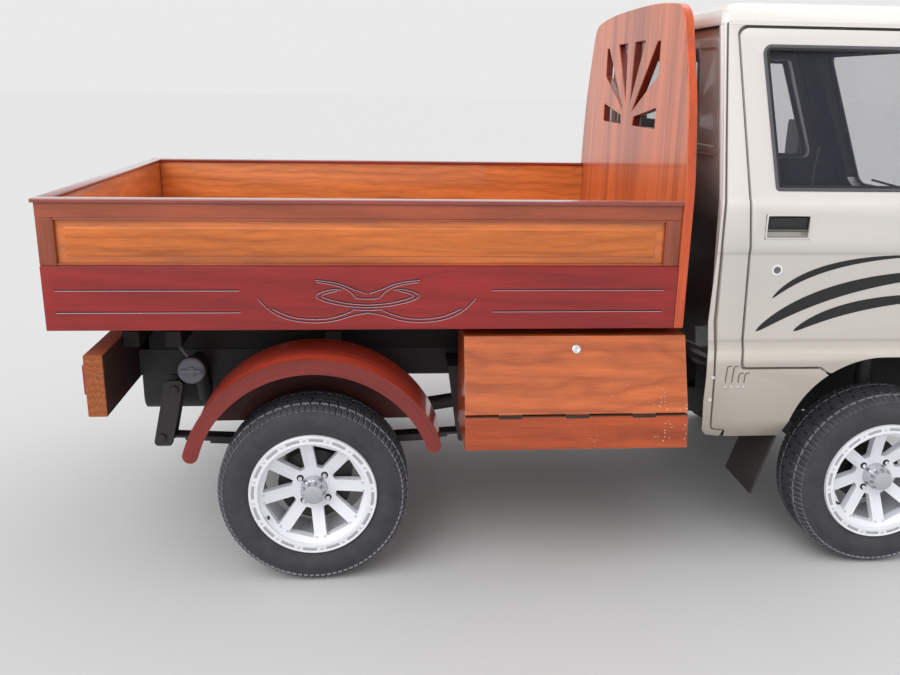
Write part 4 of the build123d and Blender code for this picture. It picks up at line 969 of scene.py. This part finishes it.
class TRUCK_OT_tailgate(bpy.types.Operator):
    """The drop tailgate, framed like the sides, with latches"""
    bl_idname = "truck.tailgate"
    bl_label = "Tailgate"
    bl_options = {"REGISTER", "UNDO"}

    def execute(self, context):
        edge = context.scene.truck_sizes.edge
        half, face = GATE_HALF, BED_REAR

        def plank(y, depth, z, round_by=edge):
            return cube((face + depth[0], y[0], z[0]), (face + depth[1], y[1], z[1]), round_by)

        cap = plank((-half + 0.008, half - 0.008), CAP_REACH, CAP_Z, CAP_ROUND)
        settle(cap, "tailgate_cap", "tailgate", "cap_cross", ("tailgate",))
        settle(plank((-half, half), (0, PLANK), RAIL_Z), "tailgate_rail", "tailgate", "rail_cross")
        stiles = [plank((y, y + STILE), STILE_DEPTH, FIELD_Z) for y in (-half, -STILE / 2, half - STILE)]
        settle(join(stiles), "tailgate_stiles", "tailgate", "stile")
        for i, field in enumerate(((-half + STILE, -STILE / 2), (STILE / 2, half - STILE))):
            panel = raise_field(plank(field, FIELD_DEPTH, FIELD_Z, 0), (-1, 0, 0), ("panel_cross",) * 3)
            settle(panel, "tailgate_panel_%d" % i, "tailgate", None, angle=20)
        board = plank((-half, half), (0, PLANK), BOARD_Z, BOARD_ROUND)
        inset(board, (-1, 0, 0), (0.03, 0.0), (0.0025, -0.0025), (0.0025, 0.0025), least=0.999)
        settle(board, "tailgate_board", "tailgate", "board_cross")
        lining = cube((face + 0.029, -half + 0.004, 0.862), (face + 0.0312, half - 0.004, 1.183), 0.0004)
        settle(lining, "tailgate_lining", "tailgate", "inner_cross")
        latches = []
        for side, _ in SIDES:
            y, bar = side * (half - 0.05), face - 0.0042
            latches += [
                cube((face - 0.0015, y - 0.030, 1.085), (face + 0.0005, y + 0.030, 1.160), 0.0006),
                drum((face - 0.0030, y, 1.122), (1, 0, 0), 0.013, 0.004, 0.001),
                tube([(bar, y, 1.122), (bar, y - side * 0.02, 1.10), (bar, y - side * 0.034, 1.09)], 0.0028),
            ]
        settle(join(latches), "tailgate_latches", "tailgate", "steel")
        return {"FINISHED"}


class TRUCK_OT_headboard(bpy.types.Operator):
    """The tall pierced headboard in glued strips, and the bed's deck"""
    bl_idname = "truck.headboard"
    bl_label = "Headboard and deck"
    bl_options = {"REGISTER", "UNDO"}

    # The pierced sun: half its width, and its heights
    SUN_HALF, SUN_LOW, SUN_HIGH = 0.38, 1.35, 1.70

    def execute(self, context):
        board = dressed("headboard", "sun_headboard", "truck", None, "wood", 0.004, 30, 3)
        wear(board, "headboard", "headboard_edge", "headboard_cut")
        for face in board.data.polygons:
            cut = abs(face.center.y) < self.SUN_HALF and self.SUN_LOW < face.center.z < self.SUN_HIGH
            face.material_index = 0 if abs(face.normal.x) > 0.4 else 2 if cut else 1
        dressed("bed_floor", "bed_deck_boards", "truck", "deck", "wood", 0.001)
        dressed("bed_bearers", "bed_bearer_beams", "truck", "bearer", "timber_dark", 0.002)
        return {"FINISHED"}


class TRUCK_OT_fenders(bpy.types.Operator):
    """Bent timber fenders whose grain follows the arch, with painted light on top, a painted highlight on the rim and
    painted shade underneath
    """
    bl_idname = "truck.fenders"
    bl_label = "Fenders"
    bl_options = {"REGISTER", "UNDO"}

    # The ends are drawn up below TOP, more and more down to FOOT, where the front or rear rise is whole
    FOOT, TOP, FRONT_RISE, REAR_RISE = radians(13.8), radians(21), radians(6.1), radians(2.4)
    # Nothing inside the first radius is drawn up, and the rim's painted highlight lies outside the second
    ARCH_RADIUS, RIM_RADIUS = 0.350, 0.402

    def execute(self, context):
        obj = copied("rear_fenders")
        self.shorten(obj)
        wear(obj, "fender", "fender_edge_highlight", "fender_inside_shade", "fender_side")
        # Painted shade on faces looking into the arch and on the inner wall
        for face in obj.data.polygons:
            inward = face.normal.dot(self.from_middle(face).normalized()) < -0.3
            upright = abs(face.normal.y) > 0.8
            if inward or abs(face.center.y) < 0.60 and upright:
                face.material_index = 2
            else:
                # The side keeps its own timber; the top takes its painted light
                face.material_index = 3 if upright else 0
        bevel(obj, 0.0045, 3, 40)
        # Pale rim faces outside the rim radius: a painted highlight
        for face in obj.data.polygons:
            outer = self.from_middle(face).length > self.RIM_RADIUS and abs(face.center.y) > 0.70
            if 0.25 < abs(face.normal.y) < 0.97 and outer:
                face.material_index = 1
        even(settle(obj, "bent_fenders", "truck", None, ("rear_fenders",), 40))
        return {"FINISHED"}

    def from_middle(self, face):
        return Vector((face.center.x - FENDER_MIDDLE[0], 0, face.center.z - FENDER_MIDDLE[1]))

    def shorten(self, obj):
        """Draws the ends up round the arc, the front one more than the rear one."""
        for vertex in obj.data.vertices:
            dx, dz = vertex.co.x - FENDER_MIDDLE[0], vertex.co.z - FENDER_MIDDLE[1]
            radius, turn = hypot(dx, dz), atan2(dz, abs(dx))
            if radius < self.ARCH_RADIUS or turn >= self.TOP:
                continue
            rise = self.FRONT_RISE if dx > 0 else self.REAR_RISE
            turn += rise * min(1.0, (self.TOP - turn) / (self.TOP - self.FOOT))
            vertex.co.x = FENDER_MIDDLE[0] + (1 if dx > 0 else -1) * radius * cos(turn)
            vertex.co.z = FENDER_MIDDLE[1] + radius * sin(turn)


class TRUCK_OT_toolboxes(bpy.types.Operator):
    """Toolboxes with drop lids and locks, and the timber rear bumper"""
    bl_idname = "truck.toolboxes"
    bl_label = "Toolboxes and bumper"
    bl_options = {"REGISTER", "UNDO"}

    # Height of the seam between box and lid, and how far its dark joint reaches
    SEAM_Z, SEAM_REACH = 0.565, 0.0066

    def execute(self, context):
        # Edges facing up, and on the lids rearward too, in a pale finish: painted highlights
        boxes = edged("toolboxes", "toolbox_bodies", "truck", ("toolbox_base", "toolbox_edge_highlight"), 0.0022,
                      shows=lambda c, n: n.z > 0.05)
        self.darken_seam(boxes)
        for side, word in SIDES:
            lid = edged("toolbox_lid_" + word, "toolbox_door_" + word, "lid_" + word, ("toolbox", "toolbox_edge_highlight"),
                        0.0018, shows=lambda c, n: n.z > 0.3 or n.x < -0.3)
            self.darken_seam(lid)
            span = [corner[0] for corner in lid.bound_box]
            seam = cube((min(span) + 0.001, side * 0.7765, self.SEAM_Z - 0.0016),
                        (max(span) - 0.001, side * 0.7786, self.SEAM_Z + 0.0016), 0.0004)
            settle(seam, "toolbox_seam_" + word, "truck", "pocket")
            out = Vector((0, side, 0.39)).normalized()
            lock = Vector((-0.0405, side * 0.7035, 0.752)) + out * 0.002
            parts = [drum(lock, out, 0.013, 0.005, 0.001),
                     drum(lock + out * 0.003, out, 0.008, 0.004, 0.0008, 20, 0.002)]
            settle(join(parts), "toolbox_lock_" + word, "lid_" + word, "chrome")
        beam = dressed("rear_bumper", "timber_bumper", "truck", None, "wood", 0.004, 30, 3)
        wear(beam, "beam", "end_grain", "beam_back")
        for face in beam.data.polygons:
            face.material_index = 1 if abs(face.normal.y) > 0.8 else 2 if face.normal.x > 0.8 else 0
        return {"FINISHED"}

    def darken_seam(self, obj):
        """Darkens the faces along the seam."""
        obj.data.materials.append(FINISH["pocket"])
        for face in obj.data.polygons:
            if abs(face.center.z - self.SEAM_Z) < self.SEAM_REACH and face.normal.z < 0.6:
                face.material_index = len(obj.data.materials) - 1


class TRUCK_OT_cab(bpy.types.Operator):
    """The pressed cab's panels, seals, handles, vents and stripes"""
    bl_idname = "truck.cab"
    bl_label = "Cab"
    bl_options = {"REGISTER", "UNDO"}

    # The space inside the cab, which faces of dark trim look into: its rear, its nose below the windscreen, its
    # lowest and highest place, and how far inside the cab's skin it starts
    CABIN_REAR, CABIN_NOSE, CABIN_LOW, CABIN_HIGH, SKIN_DEPTH = 0.41, 1.499, 0.5, 1.72, 0.035
    # The handle's rounded rim: distance along the truck and height
    HANDLE_RIM = (
        (0.5165, 1.0895), (0.6455, 1.0895), (0.6475, 1.0915), (0.6475, 1.1575), (0.6455, 1.1595), (0.5165, 1.1595),
        (0.5145, 1.1575), (0.5145, 1.0915),
    )
    HANDLE_Y, KEY_X, KEY_Z = 0.676, 0.5645, 0.993
    # Each blade's start, bend and end as distance along the truck and height, and its width
    STRIPES = (
        ((0.520, 0.800), (0.760, 1.000), (1.285, 0.985), 0.040),
        ((0.640, 0.800), (0.830, 0.930), (1.290, 0.905), 0.034),
        ((0.560, 0.905), (0.680, 1.040), (1.060, 1.038), 0.020),
    )
    # The welded edge behind the door, rear and front outline: distance along the truck and height
    FLANGE_REAR = (
        (0.3580, 1.700), (0.3720, 1.196), (0.3735, 1.045), (0.3680, 0.832), (0.3730, 0.741), (0.3770, 0.654),
        (0.3780, 0.574), (0.3840, 0.499), (0.3900, 0.468), (0.4060, 0.449), (0.4560, 0.4412),
    )
    FLANGE_FRONT = (
        (0.3640, 1.700), (0.3790, 1.196), (0.3830, 1.045), (0.3850, 0.831), (0.3930, 0.741), (0.4000, 0.654),
        (0.4050, 0.573), (0.4090, 0.499), (0.4130, 0.482), (0.4200, 0.472), (0.4600, 0.4660),
    )
    # Each vent's distance along the truck and top
    VENTS, VENT_LOW, VENT_HOLE = ((0.440, 0.690), (0.461, 0.690), (0.481, 0.667), (0.500, 0.667)), 0.636, 0.621

    def execute(self, context):
        for part in ("cab_roof", "cab_quarters", "cab_back", "cab_front"):
            self.panel(part, part + "_panel", "truck")
        repaint("plastic", "cab_floor", "dashboard", "grille")
        repaint("pocket", "wheel_housings")
        for side, word in SIDES:
            body = "door_" + word
            self.panel(body, "door_panel_" + word, body)
            repaint("glass", "door_glass_" + word)
            self.seal("door_glass_" + word, "door_seal_" + word, body, (0, side, 0))
            self.handle(side, word, body)
            self.stripes(side, word, body)
            self.flange(side, word)
            self.vents(side, word)
        repaint("glass", "windscreen", "rear_window")
        self.seal("windscreen", "windscreen_seal", "truck", (1, 0, 0))
        self.seal("rear_window", "rear_window_seal", "truck", (-1, 0, 0))
        self.pressing()
        return {"FINISHED"}

    def panel(self, part, name, body):
        """A pressed panel: sharp creases, rolled edges, dark trim where it faces the cabin."""
        obj = bevel(copied(part), 0.0016, 2, 35)
        settle(obj, name, body, None, (part,), 26)
        # The cab's back takes the paint with painted shade low down
        wear(obj, "back_paint" if part == "cab_back" else "paint", "trim")
        for face in obj.data.polygons:
            probe = face.center + face.normal * 0.03
            nose = self.CABIN_NOSE - max(0.0, probe.z - SCREEN_FOOT) * SCREEN_SLOPE
            within = (abs(probe.y) < skin_y(probe.z) - self.SKIN_DEPTH and self.CABIN_REAR < probe.x < nose
                      and self.CABIN_LOW < probe.z < self.CABIN_HIGH)
            face.material_index = 1 if within and face.area > 1e-6 else 0

    def seal(self, part, name, body, out):
        """A rubber strip round a window, grey outside and dark against the glass."""
        obj, out = copied(part), Vector(out)
        cut_faces(obj, lambda c, n: n.dot(out) < 0.6)
        wear(obj, "seal", "rubber")
        pick(obj, lambda c, n: True)
        bpy.ops.mesh.inset(thickness=0.0085, use_even_offset=True)
        assign(obj, 1)
        self.hollow(obj, 0.0080, 0.0105, 1)
        bevel(obj, 0.0028, 2, 40)
        settle(obj, name, body, None)

    def pressing(self):
        """The raised border pressed round the rear window, its rounded edges in a paler finish: a painted highlight."""
        obj = copied("rear_window")
        cut_faces(obj, lambda c, n: n.x > -0.6)
        low, high = (Vector(corner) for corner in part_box("rear_window"))
        middle = (low + high) / 2
        grown = Matrix.Diagonal((1.17, 0.600 / high.y, 1.17, 1))
        obj.data.transform(Matrix.Translation(middle - Vector((0.0085, 0, 0))) @ grown @ Matrix.Translation(-middle))
        pick(obj, lambda c, n: True)
        self.hollow(obj, 0.030, 0.009, 0)
        wear(obj, "back_paint", "back_ridge")
        # Rounded edges in the paler finish: a painted highlight
        bevel(obj, 0.0042, 3, 40, 1)
        settle(obj, "rear_window_border", "truck", None)

    def hollow(self, obj, width, thickness, offset):
        """Leaves a border of a width of the selected faces, and gives it a thickness."""
        bpy.ops.mesh.inset(thickness=width, use_even_offset=True)
        bpy.ops.mesh.delete(type="FACE")
        close_edit()
        modified(obj, "SOLIDIFY", thickness=thickness, offset=offset)

    def handle(self, side, word, body):
        """The door's handle in its cup, with its lip and rim, and the key's ring."""
        y, out = side * self.HANDLE_Y, Vector((0, side, 0))
        cup = cube((0.5155, y - side * 0.006, 1.108), (0.6455, y + side * 0.0125, 1.1605), 0.006, 3)
        settle(cup, "door_handle_cup_" + word, body, "plastic")
        flap = inset(cube((0.521, y, 1.122), (0.640, y + side * 0.0165, 1.154), 0.005, 3), out, (0.004, -0.0015))
        settle(flap, "door_handle_" + word, body, "plastic")
        lip = tube([(x, y + side * reach, 1.1135) for x, reach in ((0.520, 0.0125), (0.580, 0.0135), (0.641, 0.0125))],
                   0.0032)
        settle(lip, "door_handle_lip_" + word, body, "steel")
        rim = tube([(x, side * (skin_y(z) - 0.0005), z) for x, z in self.HANDLE_RIM], 0.0032, closed=True)
        settle(rim, "door_handle_rim_" + word, body, "paint")
        key = Vector((self.KEY_X, side * (skin_y(self.KEY_Z) + 0.0005), self.KEY_Z))
        ring = drum(key, out, 0.0165, 0.003, 0.001, 32, 0.0035)
        settle(ring, "door_key_ring_" + word, body, "alloy_edge")
        barrel = drum(key + out * 0.0008, out, 0.0105, 0.0034, 0.0008, 24, 0.002)
        settle(barrel, "door_key_" + word, body, "steel")

    def stripes(self, side, word, body):
        """Three tapered blades that rise towards the front."""
        blades = []
        for start, bend, end, width in self.STRIPES:
            a, b, c = Vector(start), Vector(bend), Vector(end)

            def place(t, v):
                point = a * (1 - t) ** 2 + b * 2 * t * (1 - t) + c * t * t
                way = ((b - a) * (1 - t) + (c - b) * t).normalized()
                half = width * 0.5 * sin(pi * min(1, t * 1.02) ** 0.7) ** 0.8 if 0 < t < 0.98 else 0.0004
                spot = point + Vector((-way.y, way.x)) * half * (1 - 2 * v) * side
                return Vector((spot.x, side * (skin_y(spot.y) + 0.0006), spot.y))

            blades.append(sheet(48, 4, place))
        settle(join(blades), "door_stripes_" + word, body, "decal")

    def flange(self, side, word):
        """The welded edge behind the door, with its groove and screws."""
        last = len(self.FLANGE_REAR) - 1

        def place(u, v):
            x, z = (self.FLANGE_REAR, self.FLANGE_FRONT)[round(v)][round(u * last)]
            return Vector((x, side * (skin_y(z) - 0.0012), z))

        obj = modified(sheet(last, 1, place), "SOLIDIFY", thickness=0.0048, offset=0)
        open_all(bevel(obj, 0.0016, 2, 40))
        bpy.ops.mesh.normals_make_consistent(inside=False)
        close_edit()
        settle(obj, "cab_flange_" + word, "truck", "paint")
        groove = [(x + 0.0035, side * (skin_y(z) + 0.0002), z) for x, z in self.FLANGE_FRONT]
        settle(tube(groove, 0.0022, smooth_line=False), "cab_flange_groove_" + word, "truck", "seam")
        screws = [drum((0.3975, side * (skin_y(z) + 0.0022), z), (0, side, 0), 0.0062, 0.004, 0.0014, 16)
                  for z in (0.654, 0.578)]
        settle(join(screws), "flange_screws_" + word, "truck", "chrome")

    def vents(self, side, word):
        """Four pressed hooks with a drain hole's bright rim under each."""
        hooks, rims, low = [], [], self.VENT_HOLE
        for x, top in self.VENTS:
            line = ((x, self.VENT_LOW), (x, top - 0.006), (x + 0.003, top), (x + 0.0135, top + 0.001))
            hooks.append(tube([(px, side * (skin_y(pz) + 0.0004), pz) for px, pz in line], 0.0016, 1))
            rims.append(drum((x, side * (skin_y(low) + 0.0008), low), (0, side, 0), 0.0040, 0.003, 0.001, 10))
        settle(join(hooks), "vent_hooks_" + word, "truck", "seam")
        settle(join(rims), "vent_rims_" + word, "truck", "chrome")


class TRUCK_OT_front(bpy.types.Operator):
    """Front bumper, lamps, grille slats, wipers, mirrors and plates"""
    bl_idname = "truck.front"
    bl_label = "Front and lamps"
    bl_options = {"REGISTER", "UNDO"}

    BOWL = ((0.0, 0.0), (0.004, 0.022), (0.018, 0.045), (0.030, 0.056))

    def execute(self, context):
        dressed("front_bumper", "wrapped_bumper", "truck", "plastic", "black_trim", 0.005, 32, 3)
        dressed("turn_lamps", "amber_lamps", "truck", "amber", "lamp_amber", 0.004, 32, 3)
        dressed("tail_lamps", "red_lamps", "truck", "red", "lamp_red", 0.005, 32, 3)
        dressed("plates", "blank_plates", "truck", "plate", "plate_white", 0.001, 32)
        for side, word in SIDES:
            dressed("mirror_" + word, "door_mirror_" + word, "door_" + word, "plastic", "black_trim", 0.003, 35)
            face = cube((1.5545, side * 0.385, 0.747), (1.5585, side * 0.585, 0.875), 0.0015)
            inset(face, (1, 0, 0), (0.010, 0.002))
            settle(face, "headlamp_lens_" + word, "truck", "lens")
            bowl = spun(self.BOWL, (1.523, side * 0.485, 0.811), 32, way=(1, 0, 0))
            settle(bowl, "headlamp_bowl_" + word, "truck", "chrome")
        repaint("chrome", "headlamps")
        slats = [cube((1.543, -0.345, z - 0.0035), (1.5495, 0.345, z + 0.0035), 0.002)
                 for z in (0.785 + i * 0.0165 for i in range(5))]
        settle(join(slats), "grille_slats", "truck", "plastic")
        wipers = []
        for y in (-0.42, 0.10):
            wipers.append(tube([(1.487, y, 1.100), (1.4865, y + 0.03, 1.120), (1.4800, y + 0.20, 1.136)], 0.0045))
            wipers.append(cube((1.4835, y - 0.02, 1.083), (1.4935, y + 0.02, 1.113), 0.003))
            blade = [(1.4815 - 0.43 * t * 0.014, y + 0.06 + t * 0.30, 1.138 + t * 0.014) for t in (0, 0.5, 1)]
            wipers.append(tube(blade, 0.005, 1, False))
        settle(join(wipers), "wipers", "truck", "plastic")
        return {"FINISHED"}


class TRUCK_OT_cabin(bpy.types.Operator):
    """Seats and steering wheel"""
    bl_idname = "truck.cabin"
    bl_label = "Cabin"
    bl_options = {"REGISTER", "UNDO"}

    # How far a pad swells at most, and the frame before which its filling ends
    SWELL, FILLED_BY = 0.011, 15

    def execute(self, context):
        dressed("steering_wheel", "driver_wheel", "steering_wheel", "plastic", "black_trim", 0.0, 40)
        for side, word in SIDES:
            y0, y1 = side * 0.085, side * 0.555
            cushion = self.pad((0.575, y0, 0.872), (0.962, y1, 0.978), 0.0)
            replaced = ("seats",) if side < 0 else ()
            settle(cushion, "seat_cushion_" + word, "truck", "seat", replaced, 60)
            back = self.pad((0.468, y0, 0.93), (0.566, y1, 1.416), 0.04)
            settle(back, "seat_back_" + word, "truck", "seat", (), 60)
            base = cube((0.505, y0 * 1.02 + side * 0.004, 0.8705), (0.60, y1 * 0.99, 0.94), 0.006)
            settle(base, "seat_base_" + word, "truck", "plastic")
        return {"FINISHED"}

    def pad(self, low, high, lean):
        """A stuffed pad: a rounded block swollen as cloth, with its place kept."""
        low, high = Vector(map(min, low, high)), Vector(map(max, low, high))
        shrink = Vector((0.010, 0.010, 0.010))
        obj = cube(low + shrink, high - shrink, 0.028, 4)
        tall = high.z - low.z
        for vertex in obj.data.vertices:
            vertex.co.x -= lean * (vertex.co.z - low.z) / tall
        modified(obj, "REMESH", mode="VOXEL", voxel_size=0.009)
        cloth = obj.modifiers.new("Fill", "CLOTH")
        cloth.settings.use_pressure = True
        cloth.settings.uniform_pressure_force = 4
        cloth.settings.effector_weights.gravity = 0
        rest = [vertex.co.copy() for vertex in obj.data.vertices]
        scene = bpy.context.scene
        for moment in range(1, self.FILLED_BY):
            scene.frame_set(moment)
        apply_all(obj)
        scene.frame_set(1)
        for vertex, was in zip(obj.data.vertices, rest):
            move = vertex.co - was
            vertex.co = was + move * min(1.0, self.SWELL / max(move.length, 1e-6))
        return obj


class TRUCK_OT_underside(bpy.types.Operator):
    """Frame, axles, springs, tank, exhaust, flaps and their fittings"""
    bl_idname = "truck.underside"
    bl_label = "Underside"
    bl_options = {"REGISTER", "UNDO"}

    # The fuel filler's cap: its outline across the truck, and its place
    FILLER = (
        (-0.5135, 0.043), (-0.520, 0.0425), (-0.5235, 0.038), (-0.5235, 0.016), (-0.529, 0.014), (-0.529, 0.0),
    )
    FILLER_X, FILLER_Z = REAR_AXLE - 0.386, 0.634
    SPRING_BOLTS = ((REAR_AXLE - 0.450, 0.560), (REAR_AXLE - 0.500, 0.397), (REAR_AXLE + 0.5, 0.397))

    def execute(self, context):
        for part, name, edge, *shape in (
            ("frame_rails", "frame_rail_pair", 0.004), ("cross_members", "frame_cross_members", 0.003),
            ("rear_axle", "rear_axle_casing", 0.0), ("leaf_springs", "leaf_spring_packs", 0.0012),
            ("front_suspension", "front_arms", 0.004), ("fuel_tank", "tank_and_filler", 0.006, 35, 3),
        ):
            dressed(part, name, "truck", "chassis", "chassis_black", edge, *shape)
        dressed("mud_flaps", "rubber_flaps", "truck", "flap", "rubber", 0.001)
        for _, word in SIDES:
            dressed("knuckle_" + word, "steering_knuckle_" + word, "upright_" + word, "chassis", "chassis_black")
        repaint("iron", "drivetrain")
        repaint("steel", "exhaust")
        x, z = self.FILLER_X, self.FILLER_Z
        cap = spun(self.FILLER, (x, 0, z), 40)
        grip = cube((x - 0.034, -0.5235, z - 0.007), (x + 0.034, -0.532, z + 0.007), 0.003)
        settle(join([cap, grip]), "filler_cap", "truck", "grey_plastic")
        pipe = [(x - 0.012, -0.500, z + 0.040), (x - 0.040, -0.480, z + 0.070), (x - 0.080, -0.455, z + 0.105)]
        settle(tube(pipe, 0.005, smooth_line=False), "filler_vent_pipe", "truck", "grey_plastic")
        bolts = []
        for side, _ in SIDES:
            bolts += [drum((bx, side * 0.491, bz), (0, side, 0), 0.014, 0.009, 0.0015, 6)
                      for bx, bz in self.SPRING_BOLTS]
            for bx, by in ((dx, dy) for dx in (-0.045, 0.045) for dy in (0.415, 0.485)):
                ends = [(REAR_AXLE + bx, side * by, bz) for bz in (0.300, 0.405)]
                bolts.append(tube(ends, 0.0065, smooth_line=False))
        settle(join(bolts), "spring_bolts", "truck", "chassis")
        return {"FINISHED"}


OPERATORS = (
    TRUCK_OT_stage, TRUCK_OT_tyres, TRUCK_OT_wheels, TRUCK_OT_bed_sides, TRUCK_OT_tailgate, TRUCK_OT_headboard,
    TRUCK_OT_fenders, TRUCK_OT_toolboxes, TRUCK_OT_cab, TRUCK_OT_front, TRUCK_OT_cabin, TRUCK_OT_underside,
)


class TRUCK_PT_panel(bpy.types.Panel):
    """Lists the truck's pieces, sizes and colours"""
    bl_label = "Truck"
    bl_idname = "TRUCK_PT_panel"
    bl_space_type = "VIEW_3D"
    bl_region_type = "UI"
    bl_category = "Truck"

    def draw(self, context):
        for group in (context.scene.truck_finishes, context.scene.truck_sizes):
            for name in group.__annotations__:
                self.layout.prop(group, name)
        for piece in OPERATORS:
            self.layout.operator(piece.bl_idname)


CLASSES = (TruckFinishes, TruckSizes, *OPERATORS, TRUCK_PT_panel)


def register():
    for made in CLASSES:
        bpy.utils.register_class(made)
    bpy.types.Scene.truck_finishes = bpy.props.PointerProperty(type=TruckFinishes)
    bpy.types.Scene.truck_sizes = bpy.props.PointerProperty(type=TruckSizes)


def unregister():
    del bpy.types.Scene.truck_sizes
    del bpy.types.Scene.truck_finishes
    for made in reversed(CLASSES):
        bpy.utils.unregister_class(made)


def main():
    register()
    calm()
    make_finishes()
    for piece in OPERATORS:
        group, name = piece.bl_idname.split(".")
        getattr(getattr(bpy.ops, group), name)()
    calm()


if __name__ == "__main__":
    main()
